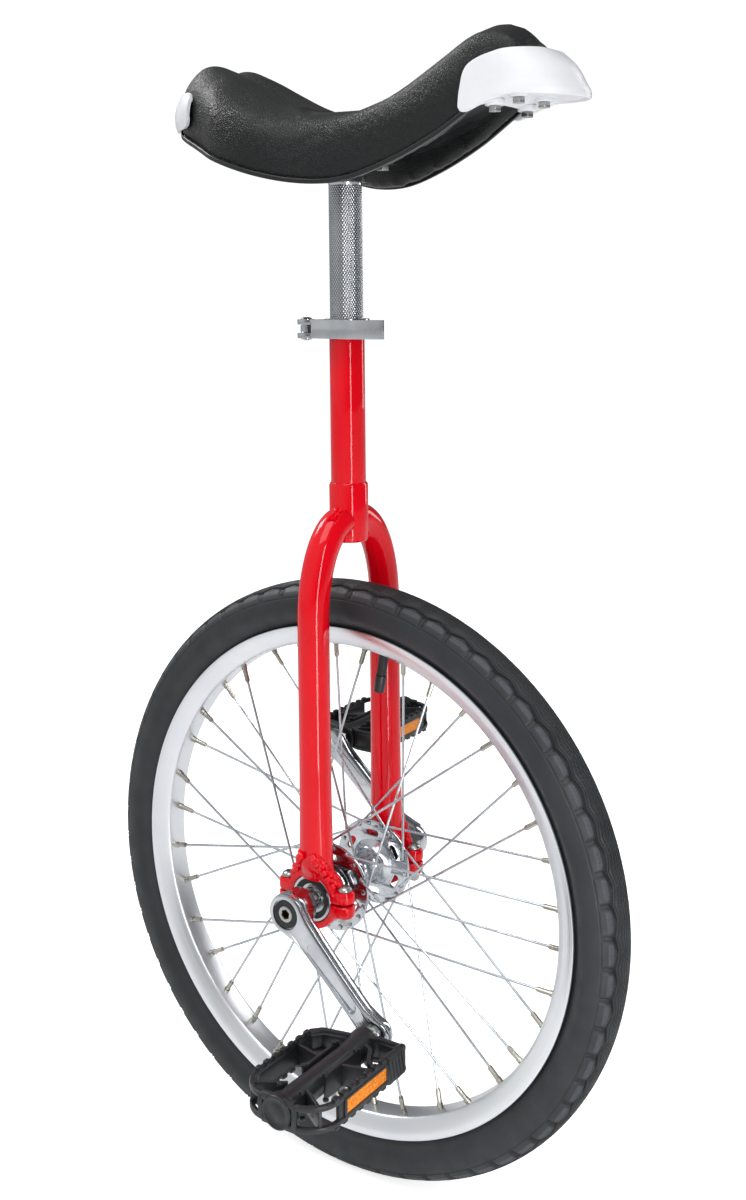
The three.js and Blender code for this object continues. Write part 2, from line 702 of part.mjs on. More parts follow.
// The leg leaves the crown sideways and bends down through a quarter ellipse.
// shrink makes the bore of the tube, which runs on past the foot by the same amount.
function legLoft(bendSteps, sides, shrink) {
  const rings = [];
  const foot = WHEEL_RADIUS + FOOT_TOP + FIT_GAP - shrink;
  const addRing = (y, z, down, radiusX) => {
    const ring = [];
    for (let k = 0; k < sides; k += 1) {
      const turn = (2 * Math.PI * k) / sides;
      const across = (LEG_RADIUS - shrink) * Math.sin(turn);
      ring.push(new THREE.Vector3(
        (radiusX - shrink) * Math.cos(turn),
        y - across * Math.sin(down),
        z + across * Math.cos(down),
      ));
    }
    rings.push(ring);
  };
  for (let k = 0; k <= bendSteps; k += 1) {
    const turn = (Math.PI / 2) * (k / bendSteps);
    const wide = BEARING_Y - LEG_START_Y;
    const tall = LEG_JOIN_Z - LEG_BEND_BOTTOM;
    const y = -LEG_START_Y - wide * Math.sin(turn);
    const z = LEG_BEND_BOTTOM + tall * Math.cos(turn);
    addRing(y, z, Math.atan2(tall * Math.sin(turn), wide * Math.cos(turn)), LEG_RADIUS);
  }
  for (const share of [0.5, 0.85, 1]) {
    const z = THREE.MathUtils.lerp(LEG_BEND_BOTTOM, foot, share);
    const radiusX = share < 0.6 ? LEG_RADIUS : LEG_FOOT_RADIUS;
    addRing(-BEARING_Y, z, Math.PI / 2, radiusX);
  }
  return loft(rings);
}

function legSolid() {
  return legLoft(9, 16, 0)
    .subtract(legLoft(6, 12, LEG_WALL))
    .subtract(rodZ(CROWN_RADIUS + FIT_GAP, CROWN_BOTTOM - REACH, CROWN_TOP + REACH, 24));
}

function crownSolid() {
  const bore = SEAT_TUBE_RADIUS + FIT_GAP;
  return turnedZ([
    [bore, CROWN_BOTTOM],
    [CROWN_RADIUS - 0.8, CROWN_BOTTOM],
    [CROWN_RADIUS, CROWN_BOTTOM + 2],
    [CROWN_RADIUS, CROWN_TOP - 2],
    [bore, CROWN_TOP],
    [bore, CROWN_BOTTOM],
  ], 24);
}

const CLAMP_BOTTOM = 689;
const CLAMP_TOP = 704.5;
const CLAMP_MIDDLE = (CLAMP_BOTTOM + CLAMP_TOP) / 2;
const CLAMP_RADIUS = 18.5;
const CLAMP_SLOT = 1.2;
const SEAT_TUBE_BOTTOM = CROWN_BOTTOM + 3;
const SEAT_TUBE_SLOT = 32;            // length of the slot that lets the clamp close the tube

function seatTubeSolid() {
  const bore = POST_RADIUS + FIT_GAP;
  const profile = ringProfile(bore, SEAT_TUBE_RADIUS, SEAT_TUBE_BOTTOM, SEAT_TUBE_TOP);
  const tube = turnedZ(profile, 24);
  const slotBottom = SEAT_TUBE_TOP - SEAT_TUBE_SLOT;
  return tube.subtract(box(-20, -8, -CLAMP_SLOT, CLAMP_SLOT, slotBottom, SEAT_TUBE_TOP + 1));
}

function addFork() {
  addPart('seat_tube', seatTubeSolid(), redPaint);
  addPart('fork_crown', crownSolid(), redPaint);
  addPair('fork_leg', legSolid(), redPaint);
}

// ---------------------------------------------------------------- seat clamp

const CLAMP_BOLT_X = -27;
const LEVER_PIVOT_Y = -18;
const LEVER_TIP_X = 46;
const LEVER_ARC_RADIUS = 129.5;
const LEVER_ARC_X = 4;
const LEVER_NEAREST_Y = -22.5;
const LEVER_HALF_THICKNESS = 2.1;
const CAM_RADIUS = 7.5;
const PIN_RADIUS = 3.6;
const CLAMP_BOLT_RADIUS = 2.8;

function clampCollarSolid() {
  const ears = box(-34, -12, -9, 9, CLAMP_BOTTOM + 1, CLAMP_TOP - 1);
  const boltHole = rodY(CLAMP_BOLT_RADIUS + FIT_GAP, -12, 12, 12, CLAMP_BOLT_X, CLAMP_MIDDLE);
  return join(rodZ(CLAMP_RADIUS, CLAMP_BOTTOM, CLAMP_TOP, 28), ears)
    .subtract(rodZ(SEAT_TUBE_RADIUS + FIT_GAP, CLAMP_BOTTOM - 1, CLAMP_TOP + 1, 24))
    .subtract(box(-40, -10, -CLAMP_SLOT, CLAMP_SLOT, CLAMP_BOTTOM - 1, CLAMP_TOP + 1))
    .subtract(boltHole);
}

function clampBoltSolid() {
  const pinSide = LEVER_PIVOT_Y + PIN_RADIUS + FIT_GAP;
  return join(
    rodY(CLAMP_BOLT_RADIUS, pinSide, 10, 12, CLAMP_BOLT_X, CLAMP_MIDDLE),
    rodY(6, 9 + FIT_GAP, 14, 6, CLAMP_BOLT_X, CLAMP_MIDDLE),
  );
}

// A curved flat bar hugging the collar, forked round the pin at its rear end.
function leverSolid() {
  const arcCentreY = LEVER_NEAREST_Y + LEVER_ARC_RADIUS;
  const angleAt = (x) => Math.asin((x - LEVER_ARC_X) / LEVER_ARC_RADIUS) - Math.PI / 2;
  const [from, to] = [angleAt(CLAMP_BOLT_X), angleAt(LEVER_TIP_X)];
  const shape = new THREE.Shape();
  const outer = LEVER_ARC_RADIUS + LEVER_HALF_THICKNESS;
  const inner = LEVER_ARC_RADIUS - LEVER_HALF_THICKNESS;
  shape.absarc(LEVER_ARC_X, arcCentreY, outer, from, to, false);
  shape.absarc(LEVER_ARC_X, arcCentreY, inner, to, from, true);
  const low = CLAMP_BOTTOM + 0.2;
  const high = CLAMP_TOP - 0.2;
  const forkLow = low + 4;
  const forkHigh = high - 4;
  const arm = plateXY(shape, low, high, 10);
  const cam = rodZ(CAM_RADIUS, low, high, 16, CLAMP_BOLT_X, LEVER_PIVOT_Y);
  const mouth = box(-40, CLAMP_BOLT_X + CAM_RADIUS, -32, -6, forkLow, forkHigh);
  const pinHole = rodZ(PIN_RADIUS + FIT_GAP, low - 1, high + 1, 12, CLAMP_BOLT_X, LEVER_PIVOT_Y);
  return join(arm, cam).subtract(mouth).subtract(pinHole);
}

function addClamp() {
  addPart('seat_clamp', clampCollarSolid(), polishedAlloy);
  addPart('clamp_bolt', clampBoltSolid(), steel);
  const pin = rodZ(PIN_RADIUS, CLAMP_BOTTOM + 0.8, CLAMP_TOP - 0.8, 12, CLAMP_BOLT_X, LEVER_PIVOT_Y);
  addPart('clamp_pin', pin, steel);
  addPart('clamp_lever', leverSolid(), polishedAlloy);
}

// ---------------------------------------------------------------- seat post and saddle

const BRACKET_BOTTOM = POST_TOP - 4;
const BRACKET_HALF_LENGTH = 36;
const BRACKET_HALF_WIDTH = 23;
const SADDLE_BOLT_X = 26;
const SADDLE_BOLT_Y = 16;

// Side view and plan of the saddle, each as [x, value] stations from tail to nose.
const SADDLE_TOP = [
  [-152, 882], [-147, 894], [-136, 907], [-117, 914.5], [-95, 905], [-60, 887], [-25, 874],
  [5, 871], [35, 875], [70, 887], [105, 908], [132, 924.5], [150, 927], [166, 921],
  [178, 909], [187, 894],
];
// How far the top falls from the middle to half way out; the rear has two lobes and a groove.
const SADDLE_CROWN = [[-152, 2], [-130, -2], [-70, -2], [-10, 3], [60, 6], [187, 6]];
const SADDLE_SKIRT = [
  [-152, 867], [-145, 860], [-137, 855], [-120, 848], [-95, 838], [-60, 825], [-25, 815], [5, 811],
  [35, 813], [70, 824], [105, 840], [132, 856.5], [150, 868], [166, 872.5], [187, 876],
];
const SADDLE_HALF_WIDTH = [
  [-152, 9], [-148, 18], [-137, 34.5], [-123, 43], [-112, 49.5], [-98, 61], [-80, 71.5],
  [-50, 73], [-25, 67], [5, 57], [35, 50], [70, 45], [105, 40.5], [132, 37.5], [160, 34.5],
  [175, 29], [187, 17],
];
const BASE_TOP = [
  [-137, 873], [-110, 868], [-60, 852], [-36, SADDLE_BASE_TOP], [36, SADDLE_BASE_TOP],
  [80, 854], [120, 868], [150, 876], [178, 881],
];
const BASE_ENDS = [-137, 174];
const STATIONS = [
  -152, -148, -137, -123, -112, -98, -80, -50, -25, 5, 35, 70, 105, 132, 150, 166, 178, 187,
];
const BASE_THICKNESS = 4;
const HANDLE_START_X = 131;           // where the grab handle begins

// Thickness of the foam beside the base, thinner inside the grab handle.
function padWall(x) {
  return x < HANDLE_START_X ? 12 : 5;
}


// Foam and cover together: an upside-down trough that sits over the base.
function padSolid() {
  const rings = [];
  for (const x of STATIONS) {
    const half = along(SADDLE_HALF_WIDTH, x);
    const top = along(SADDLE_TOP, x);
    const skirt = along(SADDLE_SKIRT, x);
    const inside = Math.min(along(BASE_TOP, THREE.MathUtils.clamp(x, ...BASE_ENDS)) + 0.6, top - 8);
    const room = Math.max(half - padWall(x), 4);
    const drop = top - skirt;
    const crown = along(SADDLE_CROWN, x);
    const section = [
      [half - 1.5, skirt], [half, skirt + drop * 0.3], [half * 0.97, skirt + drop * 0.6],
      [half * 0.84, skirt + drop * 0.83], [half * 0.5, top - crown], [0, top],
      [-half * 0.5, top - crown], [-half * 0.84, skirt + drop * 0.83],
      [-half * 0.97, skirt + drop * 0.6], [-half, skirt + drop * 0.3], [-half + 1.5, skirt],
      [-room, skirt], [-room, inside], [room, inside], [room, skirt],
    ];
    rings.push(section.map(([y, z]) => new THREE.Vector3(x, y, z)));
  }
  return loft(rings);
}

// Moulded base: a shallow channel under the foam, with a flat block for the seat post bracket.
function baseSolid() {
  const rings = [];
  for (const x of [...STATIONS.filter((at) => at >= BASE_ENDS[0] && at < 170), BASE_ENDS[1]]) {
    const half = Math.max(along(SADDLE_HALF_WIDTH, x) - padWall(x) - 1, 6);
    const top = along(BASE_TOP, x);
    const under = top - BASE_THICKNESS;
    const rib = x < HANDLE_START_X ? 5 : 0.8;
    const section = [
      [half, top], [-half, top], [-half, under - rib], [-half + 3, under - rib],
      [-half + 3, under], [half - 3, under], [half - 3, under - rib], [half, under - rib],
    ];
    rings.push(section.map(([y, z]) => new THREE.Vector3(x, y, z)));
  }
  const length = BRACKET_HALF_LENGTH + 1;
  const width = BRACKET_HALF_WIDTH + 2;
  const seat = POST_TOP + FIT_GAP;
  let base = join(loft(rings), box(-length, length, -width, width, seat, SADDLE_BASE_TOP - 3));
  for (const [x, y] of saddleBoltPlaces()) {
    base = base.subtract(rodZ(3 + FIT_GAP, seat - 1, seat + 8, 12, x, y));
  }
  for (const [x, y] of handleBoltPlaces()) {
    base = base.subtract(rodZ(HANDLE_BOLT_RADIUS + FIT_GAP, SEAT_LOW, SEAT_HIGH, 12, x, y));
  }
  return base;
}

function saddleBoltPlaces() {
  const places = [];
  for (const x of [-SADDLE_BOLT_X, SADDLE_BOLT_X]) {
    for (const y of [-SADDLE_BOLT_Y, SADDLE_BOLT_Y]) places.push([x, y]);
  }
  return places;
}

function postBracketSolid() {
  let bracket = box(-BRACKET_HALF_LENGTH, BRACKET_HALF_LENGTH,
    -BRACKET_HALF_WIDTH, BRACKET_HALF_WIDTH, BRACKET_BOTTOM, POST_TOP);
  const socket = turnedZ(ringProfile(POST_RADIUS + FIT_GAP, 17, BRACKET_BOTTOM - 14,
    BRACKET_BOTTOM + 1), 24);
  bracket = join(bracket, socket);
  for (const [x, y] of saddleBoltPlaces()) {
    bracket = bracket.subtract(rodZ(3 + FIT_GAP, BRACKET_BOTTOM - 1, POST_TOP + 1, 12, x, y));
  }
  return bracket;
}

// The white grab handle: a band swept round the nose in plan, with a floor below the nose.
const HANDLE_CENTRE_X = 165;
const HANDLE_NOSE_X = 213.5;
const HANDLE_HALF_WIDTH = 42;
const HANDLE_WALL = 3.5;
const HANDLE_FLOOR = 3;
const HANDLE_FLOOR_START_X = 147;
const HANDLE_BOLT_RADIUS = 3;
const SEAT_LOW = 840;                 // heights that cutting tools for the saddle run between
const SEAT_HIGH = 890;
// Bottom and top edge of the band in side view, as [x, z] stations.
const HANDLE_LOW = [[131, 856], [138, 857.5], [147, 861], [157, 864.3], [169, 867.5], [214, 866]];
const HANDLE_HIGH = [[131, 884], [137, 890], [147, 895], [158, 898.5], [170, 900.5], [214, 902]];

// Plan position and outward direction at a share of the way round, 0 and 1 at the two ends.
function handlePlan(share) {
  const straight = 0.25;
  const side = share < 0.5 ? -1 : 1;
  const fromEnd = Math.min(share, 1 - share);
  if (fromEnd < straight) {
    const x = THREE.MathUtils.lerp(HANDLE_START_X, HANDLE_CENTRE_X, fromEnd / straight);
    const y = side * (HANDLE_HALF_WIDTH + (HANDLE_CENTRE_X - x) * 0.03);
    return { x, y, nx: 0, ny: side, nose: 0 };
  }
  const turn = ((share - straight) / (1 - 2 * straight) - 0.5) * Math.PI;
  const reach = HANDLE_NOSE_X - HANDLE_CENTRE_X;
  const normal = new THREE.Vector2(
    Math.cos(turn) / reach, Math.sin(turn) / HANDLE_HALF_WIDTH).normalize();
  return {
    x: HANDLE_CENTRE_X + reach * Math.cos(turn),
    y: HANDLE_HALF_WIDTH * Math.sin(turn),
    nx: normal.x,
    ny: normal.y,
    nose: Math.cos(turn),
  };
}

function handleBandSolid() {
  const rings = [];
  const steps = 20;
  for (let k = 0; k <= steps; k += 1) {
    const { x, y, nx, ny, nose } = handlePlan(k / steps);
    const low = along(HANDLE_LOW, x);
    const high = along(HANDLE_HIGH, x);
    const tall = high - low;
    const lean = 3 + 24 * nose;       // how far the top edge sits inside the widest line
    const wall = HANDLE_WALL;
    const section = [
      [0, low], [0, low + tall * 0.15], [-lean * 0.13, low + tall * 0.34],
      [-lean * 0.33, low + tall * 0.61], [-lean * 0.56, low + tall * 0.8], [-lean, high],
      [-lean - wall * 0.7, high - 3], [-lean * 0.56 - wall, low + tall * 0.8 - 3],
      [-lean * 0.33 - wall, low + tall * 0.61 - 3], [-wall, low + tall * 0.2], [-wall, low],
    ];
    rings.push(section.map(([out, z]) => new THREE.Vector3(x + nx * out, y + ny * out, z)));
  }
  return loft(rings);
}

function handleFloorSolid() {
  const from = HANDLE_FLOOR_START_X;
  const under = [];
  for (let x = from; x <= HANDLE_NOSE_X; x += 11) {
    under.push(new THREE.Vector2(x, along(HANDLE_LOW, x) + 1));
  }
  const over = under.map((point) => new THREE.Vector2(point.x, point.y + HANDLE_FLOOR));
  const side = new THREE.Shape([...under, ...over.reverse()]);
  const plan = new THREE.Shape();
  plan.moveTo(from, HANDLE_HALF_WIDTH - 1);
  plan.lineTo(from, 1 - HANDLE_HALF_WIDTH);
  const reach = HANDLE_NOSE_X - HANDLE_CENTRE_X - 1;
  plan.absellipse(HANDLE_CENTRE_X, 0, reach, HANDLE_HALF_WIDTH - 1,
    -Math.PI / 2, Math.PI / 2, false);
  const wide = HANDLE_HALF_WIDTH + 3;
  return plateXZ(side, -wide, wide).intersect(plateXY(plan, SEAT_LOW, SEAT_HIGH, 7));
}

function handleBoltPlaces() {
  return [[152, -25], [152, 25], [169, -20], [169, 20]];
}

function handleSolid() {
  let handle = join(handleBandSolid(), handleFloorSolid());
  for (const [x, y] of handleBoltPlaces()) {
    handle = handle.subtract(rodZ(HANDLE_BOLT_RADIUS + FIT_GAP, SEAT_LOW, SEAT_HIGH, 12, x, y));
  }
  return handle;
}

function handleBoltSolid(x, y) {
  const headTop = along(HANDLE_LOW, x - 5.5) + 0.7;
  return join(
    rodZ(5, headTop - 4, headTop, 6, x, y),
    rodZ(HANDLE_BOLT_RADIUS, headTop - 1, along(BASE_TOP, x) - 1, 12, x, y),
  );
}

const TAIL_CENTRE_X = -101;
const TAIL_RADIUS = 59;
const BUMPER_HALF_ANGLE = 74;
const BUMPER_WALL = 3;

function rearBumperSolid() {
  const rings = [];
  const steps = 14;
  for (let k = 0; k <= steps; k += 1) {
    const turn = radians(180 + BUMPER_HALF_ANGLE * ((2 * k) / steps - 1));
    const section = [
      [TAIL_RADIUS - 5, 860], [TAIL_RADIUS - 1.5, 863], [TAIL_RADIUS, 870],
      [TAIL_RADIUS - 2.5, 881.5], [TAIL_RADIUS - 7, 891], [TAIL_RADIUS - 9.5, 889.5],
      [TAIL_RADIUS - 2.5 - BUMPER_WALL, 881], [TAIL_RADIUS - BUMPER_WALL, 870],
      [TAIL_RADIUS - 1.5 - BUMPER_WALL, 864.5], [TAIL_RADIUS - 5 - BUMPER_WALL, 862],
    ];
    rings.push(section.map(([r, z]) => new THREE.Vector3(
      TAIL_CENTRE_X + r * Math.cos(turn), r * Math.sin(turn), z)));
  }
  return loft(rings);
}

function addSeat() {
  const postBottom = POST_TOP - POST_LENGTH;
  const post = turnedZ(
    ringProfile(POST_RADIUS - 2.2, POST_RADIUS, postBottom, BRACKET_BOTTOM - FIT_GAP), 24);
  addPart('seat_post', post, chrome);
  addPart('post_bracket', postBracketSolid(), steel);
  addPart('saddle_base', baseSolid(), blackPlastic);
  addPart('saddle_pad', padSolid(), vinyl);
  addPart('front_handle', handleSolid(), whitePlastic);
  addPart('rear_bumper', rearBumperSolid(), whitePlastic);
  for (const [index, [x, y]] of saddleBoltPlaces().entries()) {
    const under = BRACKET_BOTTOM - FIT_GAP;
    const bolt = join(
      rodZ(5.5, under - 4.5, under, 6, x, y),
      rodZ(3, under - 1, POST_TOP + 6, 12, x, y),
    );
    addPart(`saddle_bolt_${index + 1}`, bolt, steel);
  }
  for (const [index, [x, y]] of handleBoltPlaces().entries()) {
    addPart(`handle_bolt_${index + 1}`, handleBoltSolid(x, y), steel);
  }
}

addTyreAndRim();
addHub();
addCranksAndPedals();
addHousings();
addFork();
addClamp();
addSeat();

export default unicycle;
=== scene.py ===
"""The looks of a 20 inch unicycle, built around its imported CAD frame."""

import json
import math

import bmesh
import bpy
import numpy as np
from mathutils import Matrix, Vector

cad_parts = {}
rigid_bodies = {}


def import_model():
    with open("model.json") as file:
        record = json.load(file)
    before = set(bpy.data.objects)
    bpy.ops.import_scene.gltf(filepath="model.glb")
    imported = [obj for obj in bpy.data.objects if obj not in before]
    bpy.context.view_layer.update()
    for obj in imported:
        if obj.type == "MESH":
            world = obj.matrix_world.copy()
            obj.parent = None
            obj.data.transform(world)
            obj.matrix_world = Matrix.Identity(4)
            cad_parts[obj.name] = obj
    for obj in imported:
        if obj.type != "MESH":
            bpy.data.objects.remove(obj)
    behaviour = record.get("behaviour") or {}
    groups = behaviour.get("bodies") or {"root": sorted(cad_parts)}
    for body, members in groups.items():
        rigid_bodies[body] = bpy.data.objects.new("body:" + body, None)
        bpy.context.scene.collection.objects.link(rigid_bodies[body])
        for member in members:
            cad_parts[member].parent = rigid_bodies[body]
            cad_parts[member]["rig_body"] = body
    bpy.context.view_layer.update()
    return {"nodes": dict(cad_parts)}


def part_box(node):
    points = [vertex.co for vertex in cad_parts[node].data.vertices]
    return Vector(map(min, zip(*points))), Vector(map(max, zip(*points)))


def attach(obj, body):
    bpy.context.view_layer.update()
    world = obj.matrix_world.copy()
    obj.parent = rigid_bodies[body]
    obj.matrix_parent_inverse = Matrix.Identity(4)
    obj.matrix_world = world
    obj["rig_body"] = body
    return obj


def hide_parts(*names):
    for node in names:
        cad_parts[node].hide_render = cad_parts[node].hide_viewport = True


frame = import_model()
NODES = frame["nodes"]
MM = 0.001

# -------- driving dimensions, mm

WHEEL_RADIUS = 245.3
SPOKES_PER_SIDE = 18
SPOKE_RADIUS = 1.0
SPOKE_HOLE_RADIUS = 32.5
FLANGE_INNER_Y = 28.7
FLANGE_OUTER_Y = 31.3
NIPPLE_TOP = 192.2
NIPPLE_STAGGER = 3.0
FIRST_NIPPLE_ANGLE = 5.0
SPOKE_CROSS_ANGLE = 60.0
CRANK_ANGLE = -39.3
CRANK_LENGTH = 110.0
LEG_Y = 50.4
LEG_RADIUS = 12.7
LEG_FOOT_RADIUS = 14.0
LEG_ROOT_Y = 8.0
LEG_ROOT_SHARES = (0.06, 0.25, 0.45, 0.65, 0.85)       # rings that close the leg's root
CROWN_BORE = 14.4
LEG_BEND_Z = 466.0
LEG_BEND_HEIGHT = 75.0
LEG_FOOT_Z = 273.6
POST_RADIUS = 13.6
SHARP_EDGE = 38                        # degrees; sharper edges of a CAD shape are softened
UPRIGHT = Matrix.Rotation(math.radians(90), 4, "X")    # stands a plate in XY up into XZ


# -------- colours and materials

def srgb(red, green, blue):
    """A colour given as 0 to 255 display values, as the linear RGBA that shaders take."""
    linear = []
    for value in (red, green, blue):
        share = value / 255
        linear.append(share / 12.92 if share <= 0.04045 else ((share + 0.055) / 1.055) ** 2.4)
    return (*linear, 1.0)


class Finish:
    """One procedural material under construction; places are read in object space, in metres."""

    def __init__(self, name, roughness, metallic=0.0):
        self.material = bpy.data.materials.new(name)
        self.material.use_nodes = True
        self.tree = self.material.node_tree
        self.shader = self.tree.nodes["Principled BSDF"]
        self.set("Roughness", roughness)
        self.set("Metallic", metallic)
        self.place = self.node("ShaderNodeTexCoord").outputs["Object"]
        self.height = None

    def set(self, socket, value):
        """A value on the shader's own socket."""
        self.shader.inputs[socket].default_value = value

    def node(self, kind, **settings):
        node = self.tree.nodes.new(kind)
        for name, value in settings.items():
            setattr(node, name, value)
        return node

    def feed(self, node, **inputs):
        """Sets or links each input, named with _ for a space, and returns the node."""
        for name, value in inputs.items():
            self.plug(node, name.replace("_", " "), value)
        return node

    def plug(self, node, socket, value):
        """Sets an input to a number or colour, or links an output to it."""
        if isinstance(value, bpy.types.NodeSocket):
            self.tree.links.new(value, node.inputs[socket])
        else:
            node.inputs[socket].default_value = value

    def math(self, operation, first, second=0.5):
        node = self.node("ShaderNodeMath", operation=operation)
        self.plug(node, 0, first)
        self.plug(node, 1, second)
        return node.outputs[0]

    def stretched(self, x, y, z):
        node = self.node("ShaderNodeMapping")
        return self.feed(node, Scale=(x, y, z), Vector=self.place).outputs[0]

    def noise(self, scale, detail=3.0, roughness=0.55, place=None):
        node = self.node("ShaderNodeTexNoise")
        self.feed(node, Scale=scale, Detail=detail, Roughness=roughness,
                  Vector=place or self.place)
        return node.outputs["Fac"]

    def cells(self, scale, feature="F1", place=None):
        node = self.node("ShaderNodeTexVoronoi", feature=feature)
        return self.feed(node, Scale=scale, Vector=place or self.place).outputs["Distance"]

    def attribute(self, name):
        return self.node("ShaderNodeAttribute", attribute_name=name).outputs["Fac"]

    def ranged(self, value, low, high, to_low, to_high):
        node = self.node("ShaderNodeMapRange", interpolation_type="SMOOTHSTEP")
        self.feed(node, From_Min=low, From_Max=high, To_Min=to_low, To_Max=to_high, Value=value)
        return node.outputs[0]

    def drift(self, noise, low=0, high=1):
        """A noise's middle values, spread over a range."""
        return self.ranged(noise, 0.3, 0.7, low, high)

    def mixed(self, factor, first, second):
        node = self.node("ShaderNodeMix", data_type="RGBA")
        self.plug(node, "Factor", factor)
        self.plug(node, 6, first)
        self.plug(node, 7, second)
        return node.outputs[2]

    def colour(self, output):
        self.plug(self.shader, "Base Color", output)

    def rough(self, output):
        self.plug(self.shader, "Roughness", output)

    def bump(self, output, depth, strength=1.0):
        """Relief of the given depth in metres, on top of what is there already."""
        node = self.feed(self.node("ShaderNodeBump"), Distance=depth, Strength=strength,
                         Height=output)
        if self.height is not None:
            self.plug(node, "Normal", self.height)
        self.height = node.outputs[0]
        self.plug(self.shader, "Normal", self.height)


def mottled(finish, light, dark, scale, rough_low, rough_high, grain_scale, grain_depth):
    """Colour that drifts between two tones, drifting gloss and a fine grain."""
    finish.colour(finish.mixed(finish.ranged(finish.noise(scale), 0.35, 0.65, 0, 1), light, dark))
    finish.rough(finish.drift(finish.noise(scale * 3.1, 4.0), rough_low, rough_high))
    finish.bump(finish.noise(grain_scale, 3.0), grain_depth)


def red_paint():
    finish = Finish("red_paint", 0.45)
    mottled(finish, srgb(224, 0, 24), srgb(215, 0, 20), 14, 0.4, 0.5, 260, 0.00002)
    finish.set("Specular IOR Level", 0.0)
    finish.set("Coat Weight", 1.0)
    finish.set("Coat Roughness", 0.03)
    finish.set("Coat IOR", 1.42)
    return finish.material


def tyre_rubber():
    """Dark rubber: matt sidewall, a lighter, finely ribbed patch on each shoulder block, and
    painted shade darkening the grooves.
    """
    finish = Finish("tyre_rubber", 0.6)
    tone = finish.drift(finish.noise(18, 5.0, 0.65))
    base = finish.mixed(tone, srgb(36, 40, 44), srgb(27, 30, 34))
    patch = finish.attribute("block")
    speckle = finish.ranged(finish.noise(1300, 2.0), 0.35, 0.6, 0.35, 1)
    dusty = finish.mixed(finish.math("MULTIPLY", patch, speckle), base, srgb(64, 68, 74))
    # painted shade: the groove mask darkens the tread's cuts to near black
    finish.colour(finish.mixed(finish.attribute("groove"), dusty, srgb(9, 10, 11)))
    finish.rough(finish.drift(finish.noise(60, 4.0), 0.46, 0.62))
    finish.bump(finish.noise(900, 3.0), 0.00008)
    return finish.material


def moulded(name, light, dark, rough_low, rough_high, depth=0.00005):
    """Injection-moulded plastic or rubber with a faint spark-eroded grain."""
    finish = Finish(name, rough_high)
    mottled(finish, light, dark, 30, rough_low, rough_high, 1500, depth)
    return finish.material


def metal(name, light, dark, rough_low, rough_high, scale=40, depth=0.00003):
    """Bare or plated metal: small drifts of tone and gloss, and hairline handling marks."""
    finish = Finish(name, rough_high, 1.0)
    mottled(finish, light, dark, scale, rough_low, rough_high, 500, depth)
    scratches = finish.cells(130, "DISTANCE_TO_EDGE", finish.stretched(1, 1, 0.25))
    finish.bump(finish.ranged(scratches, 0.0, 0.02, 0, 1), 0.000008, 0.5)
    return finish.material


def rim_alloy():
    """Anodised rim with turning marks that run round the wheel."""
    finish = Finish("rim_alloy", 0.32, 1.0)
    split = finish.feed(finish.node("ShaderNodeSeparateXYZ"), Vector=finish.place)
    x = split.outputs["X"]
    z = finish.math("SUBTRACT", split.outputs["Z"], WHEEL_RADIUS * MM)
    radius = finish.math("SQRT", finish.math(
        "ADD", finish.math("MULTIPLY", x, x), finish.math("MULTIPLY", z, z)))
    join = finish.feed(finish.node("ShaderNodeCombineXYZ"), X=radius, Y=split.outputs["Y"])
    rings = finish.noise(900, 3.0, 0.6, join.outputs[0])
    finish.colour(finish.mixed(finish.drift(finish.noise(9)), srgb(232, 235, 238),
                               srgb(222, 225, 230)))
    finish.rough(finish.drift(rings, 0.27, 0.4))
    finish.bump(rings, 0.00003)
    return finish.material


def saddle_leather():
    """Black leatherette: pebbled grain and finer creases between."""
    finish = Finish("saddle_cover", 0.4)
    tone = finish.drift(finish.noise(9, 4.0))
    finish.colour(finish.mixed(tone, srgb(15, 18, 19), srgb(8, 10, 11)))
    finish.rough(finish.drift(finish.noise(26, 5.0, 0.6), 0.27, 0.38))
    finish.set("Specular IOR Level", 0.4)
    pebbles = finish.ranged(finish.cells(620, "DISTANCE_TO_EDGE"), 0.0, 0.28, 0, 1)
    finish.bump(pebbles, 0.00016)
    finish.bump(finish.noise(1600, 2.0), 0.00005)
    finish.bump(finish.noise(120, 3.0), 0.00012)
    return finish.material


def reflector():
    """Amber lens over a grid of small prisms, with a painted glow."""
    finish = Finish("amber_plastic", 0.25)
    grid = finish.cells(700, "F1")
    glow = finish.ranged(grid, 0.15, 0.6, 0, 1)
    finish.colour(finish.mixed(glow, srgb(236, 150, 20), srgb(196, 100, 4)))
    finish.bump(grid, 0.0003)
    finish.set("Specular IOR Level", 0.3)
    # painted glow: the lens emits a faint amber light though it is no lamp
    finish.set("Emission Color", srgb(255, 160, 10))
    finish.set("Emission Strength", 0.2)
    return finish.material


FLOOR_GLOW_SEEN = 0.7                  # how much the floor glows to the camera
FLOOR_GLOW_UNSEEN = 0.1                # how much it glows to everything else


def pale_floor():
    finish = Finish("pale_floor", 0.8)
    finish.colour(finish.mixed(finish.drift(finish.noise(3)), (0.93, 0.93, 0.93, 1),
                               (0.9, 0.9, 0.9, 1)))
    finish.bump(finish.noise(200), 0.0001)
    finish.set("Emission Color", (1, 1, 1, 1))
    seen = finish.node("ShaderNodeLightPath").outputs["Is Camera Ray"]
    glow = finish.math("MAXIMUM", finish.math("MULTIPLY", seen, FLOOR_GLOW_SEEN),
                       FLOOR_GLOW_UNSEEN)
    finish.plug(finish.shader, "Emission Strength", glow)
    return finish.material


def knurled_plate():
    """Bright plating that is dull in the cuts of the knurl, with painted shade darkening the cuts.
    """
    finish = Finish("knurled_plate", 0.16, 1.0)
    cut = finish.attribute("groove")
    drift = finish.mixed(finish.ranged(finish.noise(40), 0.35, 0.65, 0, 1),
                         srgb(226, 229, 233), srgb(212, 216, 221))
    # painted shade: the knurl's cuts are painted dark grey
    finish.colour(finish.mixed(cut, drift, srgb(72, 74, 78)))
    finish.rough(finish.ranged(cut, 0.0, 1.0, 0.1, 0.34))
    finish.bump(finish.noise(500, 3.0), 0.00002)
    return finish.material


